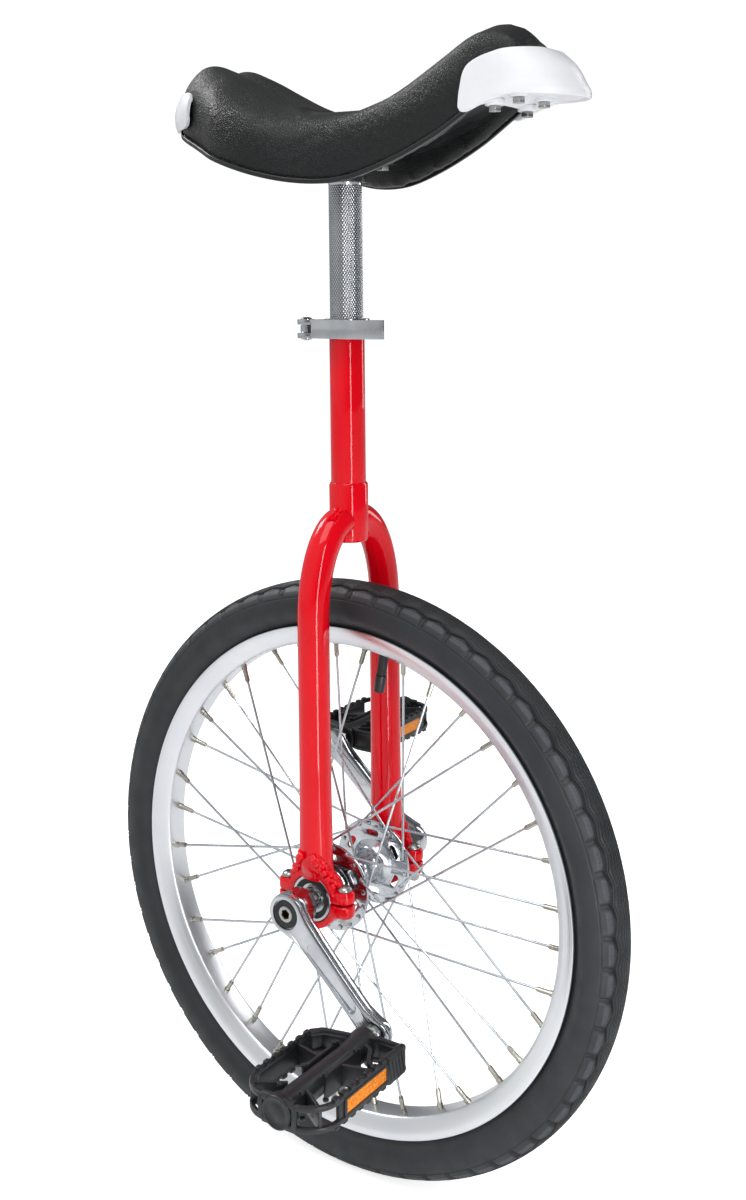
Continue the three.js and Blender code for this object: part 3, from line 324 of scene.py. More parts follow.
MATERIALS = {
    "red_paint": red_paint(),
    "tyre_rubber": tyre_rubber(),
    "black_rubber": moulded("black_rubber", srgb(30, 31, 33), srgb(22, 23, 25), 0.5, 0.7),
    "rim_alloy": rim_alloy(),
    "rim_tape_vinyl": moulded("rim_tape_vinyl", srgb(36, 40, 44), srgb(28, 32, 36), 0.4, 0.55),
    "chrome_plate": metal("chrome_plate", srgb(202, 205, 210), srgb(188, 192, 197), 0.1, 0.2),
    "polished_alloy": metal("polished_alloy", srgb(206, 209, 213), srgb(190, 194, 199), 0.09, 0.18),
    "bearing_steel": metal("bearing_steel", srgb(190, 192, 196), srgb(170, 173, 178), 0.18, 0.28),
    "plain_steel": metal("plain_steel", srgb(190, 191, 189), srgb(168, 170, 170), 0.2, 0.34),
    "black_plastic": moulded("black_plastic", srgb(33, 35, 38), srgb(25, 27, 30), 0.32, 0.46),
    "white_plastic": moulded("white_plastic", srgb(230, 231, 234), srgb(223, 225, 229), 0.28, 0.42),
    "saddle_cover": saddle_leather(),
    "amber_plastic": reflector(),
}
SPOKE_STEEL = metal("spoke_steel", srgb(200, 205, 210), srgb(182, 188, 194), 0.2, 0.32)
# painted shade: the bolt socket's lining is a dark brownish steel for the shaded hex hole
SOCKET_SHADE_STEEL = metal("socket_shade_steel", srgb(92, 78, 58), srgb(62, 52, 40), 0.3, 0.45)
NIPPLE_NICKEL = metal("nipple_nickel", srgb(186, 183, 172), srgb(166, 163, 154), 0.2, 0.3)
EDGE_TRIM = moulded("edge_trim", srgb(27, 29, 31), srgb(20, 22, 24), 0.3, 0.4)


# -------- solids as points and faces, mm

def clamped(value, low=0.0, high=1.0):
    return min(max(value, low), high)


def loft(rings, closed=False):
    """Skin over equal rings of points; open ends are capped."""
    count = len(rings[0])
    points = [point for ring in rings for point in ring]
    faces = []
    for index in range(len(rings) if closed else len(rings) - 1):
        here = index * count
        there = (index + 1) % len(rings) * count
        for j in range(count):
            k = (j + 1) % count
            faces.append((here + j, here + k, there + k, there + j))
    if not closed:
        faces.append(tuple(reversed(range(count))))
        faces.append(tuple(range(len(points) - count, len(points))))
    return points, faces


def turned(profile, steps=48, x=0.0, z=0.0, vertical=False):
    """A closed profile of (radius, place along the axis), turned about a Y or Z axis."""
    rings = []
    for step in range(steps):
        turn = 2 * math.pi * step / steps
        across, up = math.cos(turn), math.sin(turn)
        if vertical:
            rings.append([(x + r * across, z + r * up, h) for r, h in profile])
        else:
            rings.append([(x + r * across, h, z + r * up) for r, h in profile])
    return loft(rings, closed=True)


def rod(radius, low, high, steps=32, x=0.0, z=0.0, edge=0.4, vertical=False):
    """A round bar along Y, or along Z if vertical, with softened ends."""
    profile = [(0, low), (radius - edge, low), (radius - 0.3 * edge, low + 0.3 * edge),
               (radius, low + edge), (radius, high - edge),
               (radius - 0.3 * edge, high - 0.3 * edge), (radius - edge, high), (0, high)]
    return turned(profile, steps, x, z, vertical)


def moved(solid, matrix):
    points, faces = solid
    return [tuple(matrix @ Vector(point)) for point in points], faces


def shifted(solid, x=0.0, y=0.0, z=0.0):
    return moved(solid, Matrix.Translation((x, y, z)))


def mirrored(solid):
    points, faces = solid
    return [(x, -y, z) for x, y, z in points], faces


def placer(matrix, flip):
    """Gives what puts the right side's solids in place, or mirrors them there for the left."""
    def put(solids):
        return [moved(mirrored(solid) if flip else solid, matrix) for solid in solids]
    return put


def spline(points, steps):
    """Points on a smooth curve through the given ones, steps to each span."""
    ends = [2 * Vector(points[0]) - Vector(points[1]), *map(Vector, points),
            2 * Vector(points[-1]) - Vector(points[-2])]
    curve = []
    for index in range(1, len(ends) - 2):
        a, b, c, d = ends[index - 1:index + 3]
        for step in range(steps):
            t = step / steps
            curve.append(0.5 * (2 * b + (c - a) * t + (2 * a - 5 * b + 4 * c - d) * t * t
                                + (3 * b - a - 3 * c + d) * t ** 3))
    curve.append(ends[-2])
    return curve


def tube(path, radius, sides=24, flatten=lambda share: (1.0, 1.0), up=(1, 0, 0)):
    """A round tube along a path; flatten gives its two half widths as shares of radius."""
    rings = []
    for index, place in enumerate(path):
        before = path[max(index - 1, 0)]
        after = path[min(index + 1, len(path) - 1)]
        along = (Vector(after) - Vector(before)).normalized()
        side = (Vector(up) - along * Vector(up).dot(along)).normalized()
        other = along.cross(side)
        wide, tall = flatten(index / (len(path) - 1))
        rings.append([tuple(Vector(place) + side * math.cos(turn) * radius * wide
                            + other * math.sin(turn) * radius * tall)
                      for turn in (2 * math.pi * step / sides for step in range(sides))])
    return loft(rings)


def in_scene(name, data):
    """A new object with this data, linked to the scene."""
    thing = bpy.data.objects.new(name, data)
    bpy.context.scene.collection.objects.link(thing)
    return thing


def evaluated(piece):
    """The piece's mesh with its modifiers in, as a new mesh; the modifiers are taken off."""
    bpy.context.view_layer.update()
    mesh = bpy.data.meshes.new_from_object(
        piece.evaluated_get(bpy.context.evaluated_depsgraph_get()))
    piece.modifiers.clear()
    return mesh


def plate(outline, holes, thickness, edge=0.3):
    """A flat plate with holes, lying in XY and centred on z = 0, with softened edges."""
    curve = bpy.data.curves.new("outline", "CURVE")
    curve.dimensions = "2D"
    curve.fill_mode = "BOTH"
    curve.extrude = thickness / 2 - edge
    curve.bevel_depth = edge
    curve.bevel_resolution = 1
    curve.offset = -edge
    for loop in (outline, *holes):
        line = curve.splines.new("POLY")
        line.points.add(len(loop) - 1)
        line.use_cyclic_u = True
        for point, (x, y) in zip(line.points, loop):
            point.co = (x, y, 0, 1)
    holder = in_scene("outline", curve)
    mesh = evaluated(holder)
    solid = ([tuple(v.co) for v in mesh.vertices], [tuple(p.vertices) for p in mesh.polygons])
    bpy.data.objects.remove(holder)
    bpy.data.curves.remove(curve)
    bpy.data.meshes.remove(mesh)
    return solid


def circle(radius, x=0.0, y=0.0, steps=32):
    return [(x + radius * math.cos(2 * math.pi * k / steps),
             y + radius * math.sin(2 * math.pi * k / steps)) for k in range(steps)]


def arc(radius, start, end, steps, x=0.0, y=0.0):
    turns = [math.radians(start + (end - start) * k / steps) for k in range(steps + 1)]
    return [(x + radius * math.cos(turn), y + radius * math.sin(turn)) for turn in turns]


def rounded_box(x0, x1, y0, y1, z0, z1, edge=0.8):
    """A block with softened corners, as a bevelled cube."""
    shape = bmesh.new()
    bmesh.ops.create_cube(shape, size=1.0)
    for vert in shape.verts:
        vert.co = Vector((x0 if vert.co.x < 0 else x1, y0 if vert.co.y < 0 else y1,
                          z0 if vert.co.z < 0 else z1))
    bmesh.ops.bevel(shape, geom=shape.edges[:], offset=edge, segments=2, profile=0.5,
                    affect="EDGES")
    shape.verts.index_update()
    solid = ([tuple(v.co) for v in shape.verts],
             [tuple(v.index for v in face.verts) for face in shape.faces])
    shape.free()
    return solid


def hexagon_nut(radius, low, high, x, y, dome=0.6):
    """A hexagon nut along Z with its corners turned off."""

    def ring(share, height):
        return [(*point, height) for point in circle(radius * share, x, y, 6)]
    return loft([ring(0.9, low), ring(1, low + dome), ring(1, high - dome), ring(0.86, high)])


# -------- pieces

def show(name, mesh, body, slot, material=None, replaces=(), sharp=35):
    """Puts a mesh in metres into the scene as a visible piece on a CAD body."""
    piece = in_scene(name, mesh)
    mesh.polygons.foreach_set("use_smooth", [True] * len(mesh.polygons))
    mesh.set_sharp_from_angle(angle=math.radians(sharp))
    mesh.materials.clear()
    mesh.materials.append(material or MATERIALS[slot])
    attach(piece, body)
    if replaces:
        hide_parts(*replaces)
    return piece


def built(name, solids, body, slot, material=None, replaces=(), sharp=35):
    """A visible piece from solids in millimetres."""
    shape = bmesh.new()
    for points, faces in solids:
        verts = [shape.verts.new(Vector(point) * MM) for point in points]
        for face in faces:
            shape.faces.new([verts[index] for index in face])
    bmesh.ops.remove_doubles(shape, verts=shape.verts[:], dist=2e-7)
    bmesh.ops.dissolve_degenerate(shape, edges=shape.edges[:], dist=1e-7)
    bmesh.ops.recalc_face_normals(shape, faces=shape.faces[:])
    mesh = bpy.data.meshes.new(name)
    shape.to_mesh(mesh)
    shape.free()
    return show(name, mesh, body, slot, material, replaces, sharp)


def rebuilt(stem, side, solids, slot, sharp=35):
    """A finer piece that stands for the CAD node of this name on this side."""
    node = f"{stem}_{side}"
    return built(f"{stem}_finished_{side}", solids, NODES[node]["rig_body"], slot,
                 replaces=(node,), sharp=sharp)


def softened(node, slot, edge):
    """The CAD node's own shape with its sharp edges rounded over."""
    shape = bmesh.new()
    shape.from_mesh(NODES[node].data)
    bmesh.ops.remove_doubles(shape, verts=shape.verts[:], dist=1e-6)
    bmesh.ops.dissolve_limit(shape, angle_limit=math.radians(0.5), verts=shape.verts[:],
                             edges=shape.edges[:])
    keen = [e for e in shape.edges
            if len(e.link_faces) == 2 and e.calc_face_angle(0) > math.radians(SHARP_EDGE)]
    bmesh.ops.bevel(shape, geom=keen, offset=edge * MM, segments=2, profile=0.6,
                    affect="EDGES", clamp_overlap=True)
    mesh = bpy.data.meshes.new(node + "_finished")
    shape.to_mesh(mesh)
    shape.free()
    show(node + "_finished", mesh, NODES[node]["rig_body"], slot, replaces=(node,))


# -------- camera, floor and light

# The photograph's viewing angle in degrees, and the camera's place in metres.
CAMERA_AZIMUTH = 34.21
CAMERA_PITCH = 3.43
CAMERA_ROLL = -0.592
CAMERA_PLACE = (0.6717, -0.9508, 0.7406)
CAMERA_LENS = 43.16
CAMERA_SENSOR = 36
CAMERA_SHIFT_Y = -0.2
CAMERA_REACH = 50


def add_camera():
    azimuth, pitch, roll = map(math.radians, (CAMERA_AZIMUTH, CAMERA_PITCH, CAMERA_ROLL))
    ahead = Vector((-math.sin(azimuth) * math.cos(pitch), math.cos(azimuth) * math.cos(pitch),
                    -math.sin(pitch)))
    level = Vector((math.cos(azimuth), math.sin(azimuth), 0))
    upright = level.cross(ahead)
    right = level * math.cos(roll) + upright * math.sin(roll)
    up = upright * math.cos(roll) - level * math.sin(roll)
    camera_data = bpy.data.cameras.new("camera")
    camera_data.sensor_width = CAMERA_SENSOR
    camera_data.lens = CAMERA_LENS
    camera_data.shift_y = CAMERA_SHIFT_Y
    camera_data.clip_end = CAMERA_REACH
    camera = in_scene("camera", camera_data)
    turn = Matrix((right, up, -ahead)).transposed().to_4x4()
    camera.matrix_world = Matrix.Translation(CAMERA_PLACE) @ turn
    bpy.context.scene.camera = camera


FLOOR_REACH = 12.0
FLOOR_DROP = 0.0004                    # keeps the floor just clear of the tyre
SKY_TOWARD = (-0.55, -0.55, 0.62)      # where the surround is brightest
SKY_DARK = (0.18, 0.18, 0.19, 1)
SKY_LIGHT = (1.0, 1.0, 1.0, 1)
SKY_RAMP = (0.08, 0.8)
SKY_STRENGTH = 0.68
BACKDROP_STRENGTH = 1.05
MIDDLE = (0, 0, 0.45)                  # of the object

# Soft lights: name, place, what it faces, width and height in metres, and watts.
LIGHTS = [
    ("strip_light", (0.80, -0.54, 0.62), (0, 0, 0.62), 0.13, 1.18, 4.6),
    ("low_strip_light", (0.38, -0.255, 0.24), (0, 0, 0.24), 0.03, 0.42, 0.24),
    ("top_light", (0.3, -0.8, 2.5), MIDDLE, 1.4, 1.4, 18),
    ("left_light", (-2.0, 0.0, 2.3), (0, 0, 0.8), 0.9, 0.9, 26),
    ("back_light", (0.9, 2.2, 1.3), MIDDLE, 0.5, 1.8, 12),
]


def add_softbox(name, place, target, width, height, power):
    light = bpy.data.lights.new(name, "AREA")
    light.shape = "RECTANGLE"
    light.size = width
    light.size_y = height
    light.energy = power
    lamp = in_scene(name, light)
    away = (Vector(place) - Vector(target)).normalized()
    facing = away.to_track_quat("Z", "Y").to_matrix().to_4x4()
    lamp.matrix_world = Matrix.Translation(place) @ facing
    lamp.visible_camera = False


def add_floor():
    mesh = bpy.data.meshes.new("floor")
    mesh.from_pydata([(-FLOOR_REACH, -FLOOR_REACH, 0), (FLOOR_REACH, -FLOOR_REACH, 0),
                      (FLOOR_REACH, FLOOR_REACH, 0), (-FLOOR_REACH, FLOOR_REACH, 0)],
                     [], [(0, 1, 2, 3)])
    mesh.materials.append(pale_floor())
    floor = in_scene("floor", mesh)
    floor.location.z = -FLOOR_DROP


def add_surround():
    """A plain backdrop for the camera, and a soft sky for light and reflections."""
    world = bpy.data.worlds.new("studio")
    bpy.context.scene.world = world
    world.use_nodes = True
    nodes, links = world.node_tree.nodes, world.node_tree.links
    sky = nodes["Background"]
    place = nodes.new("ShaderNodeTexCoord")
    toward = nodes.new("ShaderNodeVectorMath")
    toward.operation = "DOT_PRODUCT"
    toward.inputs[1].default_value = Vector(SKY_TOWARD).normalized()
    links.new(place.outputs["Generated"], toward.inputs[0])
    ramp = nodes.new("ShaderNodeValToRGB")
    stops = zip(ramp.color_ramp.elements, SKY_RAMP, (SKY_DARK, SKY_LIGHT))
    for element, position, colour in stops:
        element.position = position
        element.color = colour
    links.new(toward.outputs["Value"], ramp.inputs[0])
    links.new(ramp.outputs[0], sky.inputs["Color"])
    sky.inputs["Strength"].default_value = SKY_STRENGTH
    backdrop = nodes.new("ShaderNodeBackground")
    backdrop.inputs["Color"].default_value = (1, 1, 1, 1)
    backdrop.inputs["Strength"].default_value = BACKDROP_STRENGTH
    seen = nodes.new("ShaderNodeLightPath")
    choice = nodes.new("ShaderNodeMixShader")
    links.new(seen.outputs["Is Camera Ray"], choice.inputs[0])
    links.new(sky.outputs[0], choice.inputs[1])
    links.new(backdrop.outputs[0], choice.inputs[2])
    links.new(choice.outputs[0], nodes["World Output"].inputs[0])


def add_studio():
    add_floor()
    add_surround()
    for light in LIGHTS:
        add_softbox(*light)
    bpy.context.scene.view_settings.view_transform = "Standard"


# -------- wheel

PADS = 64                              # shoulder blocks round the tyre
AROUND = PADS * 24                     # points round the tyre
TREAD_WIDTH = 26.0                     # over the tyre, from its middle to the sidewall
# Wavy lines in the tread: distance from its middle, swing, half width and depth.
TREAD_LINES = [(12.6, 1.7, 1.3, 2.6), (0.0, 0.9, 0.75, 1.3), (3.3, 1.1, 0.75, 1.3),
               (6.6, 1.3, 0.75, 1.3), (9.6, 1.5, 0.75, 1.3)]
BLOCK_SPAN = (14.6, 23.2)              # where the shoulder blocks lie, from the tread's middle
BLOCK_MIDDLE = 19.0
BLOCK_HALF_WIDTH = 4.4
BLOCK_HALF_LENGTH = 8.6
BLOCK_HEIGHT = 0.45
BLOCK_PATCH_END = 19.2                 # the dusty patch covers the block's outer half
SHOULDER_RADIUS = 240
BLOCK_PITCH = 2 * math.pi * SHOULDER_RADIUS / PADS
SIPE_SPAN = (15.4, 23.6)
SIPE_PLACE = 10.4                      # from the block's middle
WALL_LINE = 24.6                       # line between shoulder and sidewall
# Half of the tyre's outer section from the bead to the middle of the tread, as (radius, y).
TYRE_SECTION = [(205, 12.6), (208, 12.9), (211, 13.8), (214, 16.6), (217, 19.6), (220.5, 21.5),
                (224, 22), (229, 21.5), (234, 20), (238, 17.6), (241, 14.4), (243.7, 10.2),
                (244.9, 5.4), (245.3, 0)]
# The tyre's inside, from the one bead to the other.
TYRE_INSIDE = [(205, -10.6), (209.5, -11.2), (220.3, -18.6), (228.3, -17.2), (239.0, -8),
               (239.0, 8), (228.3, 17.2), (220.3, 18.6), (209.5, 11.2), (205, 10.6)]


def tread_relief(from_crown, around, side):
    """Relief in mm, how much it is a block's patch, and how much a groove, at a place.

    from_crown is the distance over the tyre from its middle, around the distance round it in
    block lengths, and side +1 or -1; the two shoulders are half a block apart.
    """
    share = (around + (0.5 if side < 0 else 0.0)) % 1.0
    wave = abs(2 * share - 1) * 2 - 1                     # -1 to 1 and back, once for each block
    relief = np.zeros_like(share)
    groove = np.zeros_like(share)

    def cut(distance, half_width, depth):
        nonlocal relief, groove
        inside = np.clip(1 - (np.abs(distance) / half_width) ** 2, 0, 1)
        relief = np.minimum(relief, -depth * inside)
        groove = np.maximum(groove, inside)

    for line, swing, half_width, depth in TREAD_LINES:
        cut(from_crown - line - swing * wave, half_width, depth)
    in_shoulder = (from_crown > BLOCK_SPAN[0]) & (from_crown < BLOCK_SPAN[1])
    along = np.abs(share - 0.5) * BLOCK_PITCH             # mm from the block's middle
    rounded = np.clip(((from_crown - BLOCK_MIDDLE) / BLOCK_HALF_WIDTH) ** 4
                      + (along / BLOCK_HALF_LENGTH) ** 4, 0, 2)
    on_block = in_shoulder & (rounded < 1)
    relief = np.where(on_block, BLOCK_HEIGHT * np.clip(1.6 * (1 - rounded), 0, 1), relief)
    block = np.where(on_block & (from_crown < BLOCK_PATCH_END),
                     np.clip(3 * (0.9 - rounded), 0, 1), 0.0)
    in_sipe = (from_crown > SIPE_SPAN[0]) & (from_crown < SIPE_SPAN[1])
    cut(np.where(in_sipe, along - SIPE_PLACE, 9.0), 0.9, 1.3)
    cut(from_crown - WALL_LINE, 0.7, 0.5)
    return relief, block, groove


def tyre_stations():
    """Along the half section: radius, y, outward direction and distance from the crown."""
    half = spline([(r, y, 0) for r, y in TYRE_SECTION], 8)
    walk = [0.0]
    for first, second in zip(half, half[1:]):
        walk.append(walk[-1] + (second - first).length)
    shoulder = walk[-1] - TREAD_WIDTH
    stops = np.concatenate([np.linspace(0, shoulder, 9)[:-1], np.linspace(shoulder, walk[-1], 38)])
    radii = np.interp(stops, walk, [p.x for p in half])
    places = np.interp(stops, walk, [p.y for p in half])
    slope_r = np.gradient(radii, stops)
    slope_y = np.gradient(places, stops)
    steepness = np.hypot(slope_r, slope_y)
    return list(zip(radii, places, -slope_y / steepness, slope_r / steepness, walk[-1] - stops))


def add_tyre():
    turns = np.arange(AROUND) / AROUND
    angle = 2 * math.pi * turns
    columns = []
    blocks = []
    grooves = []

    def column(radius, y, block, groove):
        columns.append(np.stack([radius * np.cos(angle), y, WHEEL_RADIUS + radius * np.sin(angle)],
                                axis=1))
        blocks.append(block)
        grooves.append(groove)

    stations = tyre_stations()
    for side, order in ((1, stations), (-1, stations[-2::-1])):
        for radius, place, out_r, out_y, from_crown in order:
            relief, block, groove = tread_relief(np.full(AROUND, from_crown), turns * PADS, side)
            relief = np.where(radius + relief * out_r > WHEEL_RADIUS, WHEEL_RADIUS - radius, relief)
            column(radius + relief * out_r, side * (place + relief * out_y), block, groove)
    flat = np.zeros(AROUND)
    for radius, y in TYRE_INSIDE:
        column(radius + flat, y + flat, flat, flat)
    count = len(columns)
    points = np.stack(columns, axis=1).reshape(-1, 3) * MM       # one ring of columns per angle
    here = np.arange(AROUND)[:, None] * count
    there = (np.arange(AROUND)[:, None] + 1) % AROUND * count
    j = np.arange(count)[None, :]
    k = (j + 1) % count
    faces = np.stack([here + j, there + j, there + k, here + k], axis=2).reshape(-1, 4)
    mesh = bpy.data.meshes.new("tyre_with_tread")
    mesh.from_pydata(points.tolist(), [], faces.tolist())
    # the groove mask is painted shade: the tyre's material darkens its cuts with it
    for name, values in (("block", blocks), ("groove", grooves)):
        attribute = mesh.attributes.new(name, "FLOAT", "POINT")
        attribute.data.foreach_set("value", np.stack(values, axis=1).reshape(-1).astype(np.float32))
    show("tyre_with_tread", mesh, "wheel", "tyre_rubber", replaces=("tyre",), sharp=180)


# Half of the rim's section as (radius, y): inner wall, flank, flange lip and bead seat.
RIM_SECTION = [(193.9, 9.0), (194.6, 10.1), (196.9, 11.9), (200.5, 13.9), (203.4, 15.3),
               (205.2, 15.9), (208.4, 16.5), (209.4, 16.4), (209.8, 15.6), (209.2, 14.9),
               (204.4, 13.6), (201.2, 10.6), (197.4, 8.4), (196.9, 7.6)]
RIM_FLOOR = [(193.7, -7.8), (193.7, 7.8)]


def add_rim():
    other_half = [(r, -y) for r, y in reversed(RIM_SECTION)]
    built("rim_finished", [turned([*RIM_SECTION, *other_half, *RIM_FLOOR], 360, 0, WHEEL_RADIUS)],
          "wheel", "rim_alloy", replaces=("rim",), sharp=28)


def wheel_point(radius, degrees, y):
    turn = math.radians(degrees)
    return Vector((radius * math.cos(turn), y, WHEEL_RADIUS + radius * math.sin(turn)))


def spoke_lacing(side):
    """For each spoke of a side: its angle at the rim and at the hub, and whether it trails."""
    lacing = []
    for k in range(SPOKES_PER_SIDE):
        hole = 2 * k + (1 if side > 0 else 0)
        rim_angle = FIRST_NIPPLE_ANGLE + 180 / SPOKES_PER_SIDE * hole
        trailing = hole % 4 < 2
        hub_angle = rim_angle + (SPOKE_CROSS_ANGLE if trailing else -SPOKE_CROSS_ANGLE)
        lacing.append((rim_angle, hub_angle, trailing))
    return lacing


# A nipple's three steps: start and end before its seat on the rim, and radius.
NIPPLE_STEPS = [(13.0, 12.0, 1.55), (12.0, 2.0, 2.0), (2.0, -1.8, 2.5)]
SPOKE_HEAD_RADIUS = 2.0
SPOKE_HEAD_HEIGHT = 0.9
WIRE_STAND_OFF = 1.3                   # of a spoke's wire from its flange
HEAD_STAND_OFF = 0.6                   # of its head


def spoke_head(head, side, trailing):
    """The domed head on the other face of the flange than its wire."""
    top = Vector((0, side * (-SPOKE_HEAD_HEIGHT if trailing else SPOKE_HEAD_HEIGHT), 0))
    return tube([head, head + top * 0.6, head + top], SPOKE_HEAD_RADIUS, 12,
                lambda share: (1 - 0.5 * share ** 2,) * 2)


def add_spokes():
    nipples = []
    slant = (0.3, 0.2, 1)                              # keeps the tubes' sides from twisting
    for side, label in ((-1, "right"), (1, "left")):
        wires = []
        for rim_angle, hub_angle, trailing in spoke_lacing(side):
            faces = (FLANGE_OUTER_Y, FLANGE_INNER_Y) if trailing else (FLANGE_INNER_Y,
                                                                       FLANGE_OUTER_Y)
            way = 1 if trailing else -1
            bend = wheel_point(SPOKE_HOLE_RADIUS, hub_angle,
                               side * (faces[0] + way * WIRE_STAND_OFF))
            head = wheel_point(SPOKE_HOLE_RADIUS, hub_angle,
                               side * (faces[1] - way * HEAD_STAND_OFF))
            seat = wheel_point(NIPPLE_TOP, rim_angle, side * NIPPLE_STAGGER)
            along = (seat - bend).normalized()
            path = [head, head.lerp(bend, 0.6), bend + along * 0.7, bend + along * 3, seat]
            wires.append(tube(path, SPOKE_RADIUS, 10, up=slant))
            wires.append(spoke_head(head, side, trailing))
            for start, end, radius in NIPPLE_STEPS:
                nipples.append(tube([seat - along * start, seat - along * (start + end) / 2,
                                     seat - along * end], radius, 10, up=slant))
        built("spoke_wires_" + label, wires, "wheel", "plain_steel", SPOKE_STEEL,
              ("spokes_" + label,))
    built("spoke_nipples", nipples, "wheel", "plain_steel", NIPPLE_NICKEL)


FLANGE_RADIUS = 35.5
FLANGE_HOLE_RADIUS = 1.25
FLANGE_SLOTS = 6
SLOT_RADIUS = 24.6                     # of the slots' middles from the axle
SLOT_HALF_WIDTH = 2.6
SLOT_HALF_STRAIGHT = 3.5


def flange_plate(side):
    """A stamped flange: spoke holes at its edge and rounded slots nearer the axle."""
    holes = []
    for _, hub_angle, _ in spoke_lacing(side):
        turn = math.radians(hub_angle)
        holes.append(circle(FLANGE_HOLE_RADIUS, SPOKE_HOLE_RADIUS * math.cos(turn),
                            SPOKE_HOLE_RADIUS * math.sin(turn), 12))
    slot = [*arc(SLOT_HALF_WIDTH, -90, 90, 8, SLOT_HALF_STRAIGHT),
            *arc(SLOT_HALF_WIDTH, 90, 270, 8, -SLOT_HALF_STRAIGHT)]
    out = Matrix.Rotation(math.radians(90), 2)
    for k in range(FLANGE_SLOTS):
        spin = Matrix.Rotation(math.radians(360 / FLANGE_SLOTS * (k + 0.5)), 2)
        holes.append([tuple(spin @ (Vector((SLOT_RADIUS, 0)) + out @ Vector(point)))
                      for point in slot])
    solid = plate(circle(FLANGE_RADIUS, steps=72), holes, FLANGE_OUTER_Y - FLANGE_INNER_Y, 0.35)
    stand = Matrix.Translation((0, side * (FLANGE_INNER_Y + FLANGE_OUTER_Y) / 2, WHEEL_RADIUS))
    return moved(solid, stand @ UPRIGHT)


# Sections of the hub as (radius, y): the cone with its flange's collar, and the barrel.
HUB_CONE = [(11.8, 17.0), (12.4, 21.0), (14.2, 24.5), (17.5, 27.2), (19.5, 28.9), (19.5, 31.0),
            (18.8, 31.7), (15.4, 31.8), (14.4, 33.2), (13.0, 33.8), (8.8, 33.8), (8.8, 17.0)]
HUB_BARREL = [(8.8, -18), (12, -18), (12, -6), (12.5, -5), (12.5, 5), (12, 6), (12, 18),
              (8.8, 18)]


def add_hub():
    solids = []
    for side in (-1, 1):
        solids.append(flange_plate(side))
        solids.append(turned([(r, side * y) for r, y in HUB_CONE], 64, 0, WHEEL_RADIUS))
    solids.append(turned(HUB_BARREL, 64, 0, WHEEL_RADIUS))
    built("hub_shell_finished", solids, "wheel", "chrome_plate", replaces=("hub_shell",))


# -------- fork

LEG_BEND_STEPS = 32
LEG_STRAIGHT_STEPS = 24


def leg_path(side):
    path = []
    for step in range(LEG_BEND_STEPS + 1):
        turn = math.pi / 2 * step / LEG_BEND_STEPS
        path.append(Vector((0, side * (LEG_ROOT_Y + (LEG_Y - LEG_ROOT_Y) * math.sin(turn)),
                            LEG_BEND_Z + LEG_BEND_HEIGHT * math.cos(turn))))
    for step in range(1, LEG_STRAIGHT_STEPS + 1):
        path.append(Vector((0, side * LEG_Y,
                            LEG_BEND_Z + (LEG_FOOT_Z - LEG_BEND_Z) * step / LEG_STRAIGHT_STEPS)))
    return path


def clear_of_post(point, side):
    """Keeps a leg's root inside the crown's wall, out of the bore that the post slides in."""
    x, y, z = point
    if z > LEG_BEND_Z and math.hypot(x, y) < CROWN_BORE:
        y = side * math.sqrt(CROWN_BORE ** 2 - x * x)
    return x, y, z


FOOT_START = 0.8                       # share of the leg after which its foot swells
ROOT_STEP = 0.02                       # between the rings that close its root


def leg_width(index, last):
    """The leg's two half widths at a ring of its path, as shares of its radius."""
    if index < len(LEG_ROOT_SHARES):
        return LEG_ROOT_SHARES[index], LEG_ROOT_SHARES[index]
    swell = max(0.0, (index / last - FOOT_START) / (1 - FOOT_START))
    return 1 + (LEG_FOOT_RADIUS / LEG_RADIUS - 1) * swell ** 2, 1.0


def add_fork():
    rings = len(LEG_ROOT_SHARES)
    for side, label in ((-1, "right"), (1, "left")):
        path = leg_path(side)
        root = [path[0] - Vector((0, side * ROOT_STEP * (rings - k), 0)) for k in range(rings)]
        path = root + path
        last = len(path) - 1
        points, faces = tube(path, LEG_RADIUS, 56,
                             lambda share: leg_width(round(share * last), last))
        points = [clear_of_post(point, side) for point in points]
        rebuilt("fork_leg", label, [(points, faces)], "red_paint", sharp=50)


CRANK_FACE = -92.6                     # outer face of the right crank
CRANK_THICKNESS = 12.0
CRANK_LIP = 1.6                        # depth of the long recess in its face
CRANK_SWEEP = 5.5                      # how far the pedal end stands out from the axle end
# Section of the boss that goes over the axle, as (radius, y).
CRANK_BOSS = [(8.8, CRANK_FACE + 6), (14.6, CRANK_FACE + 6), (14.2, -70.5), (13.2, -69.0),
              (8.8, -69.0)]


def crank_solids():
    """The right crank lying along +X from the axle, in wheel-centred coordinates."""
    outline = [*arc(15.5, 62, 298, 28), (17, -10.6), (34, -8.6), (62, -8.0), (92, -8.2),
               *arc(11.5, -118, 118, 20, CRANK_LENGTH), (92, 8.2), (62, 8.0), (34, 8.6),
               (17, 10.6)]
    recess = [*arc(4.6, -90, 90, 8, 84), *arc(4.6, 90, 270, 8, 34)]
    depth = CRANK_THICKNESS - CRANK_LIP
    body = moved(plate(outline, [circle(7.0)], depth, 2.6), UPRIGHT)
    lip = moved(plate(outline, [recess, circle(11.4)], 4.4, 1.5), UPRIGHT)
    solids = [shifted(body, 0, CRANK_FACE + CRANK_LIP + depth / 2, 0),
              shifted(lip, 0, CRANK_FACE + 2.2, 0), turned(CRANK_BOSS, 64)]

    def swept(point):
        x, y, z = point
        share = clamped((x - 24) / (CRANK_LENGTH - 34))
        return x, y - CRANK_SWEEP * share * share * (3 - 2 * share), z
    return [([swept(point) for point in points], faces) for points, faces in solids]


def crank_places():
    """For each side: its name, whether it is mirrored, and the turn of its crank."""
    return (("right", False, CRANK_ANGLE), ("left", True, CRANK_ANGLE + 180))


def crank_frame(angle):
    turn = Matrix.Rotation(math.radians(-angle), 4, "Y")
    return Matrix.Translation((0, 0, WHEEL_RADIUS)) @ turn


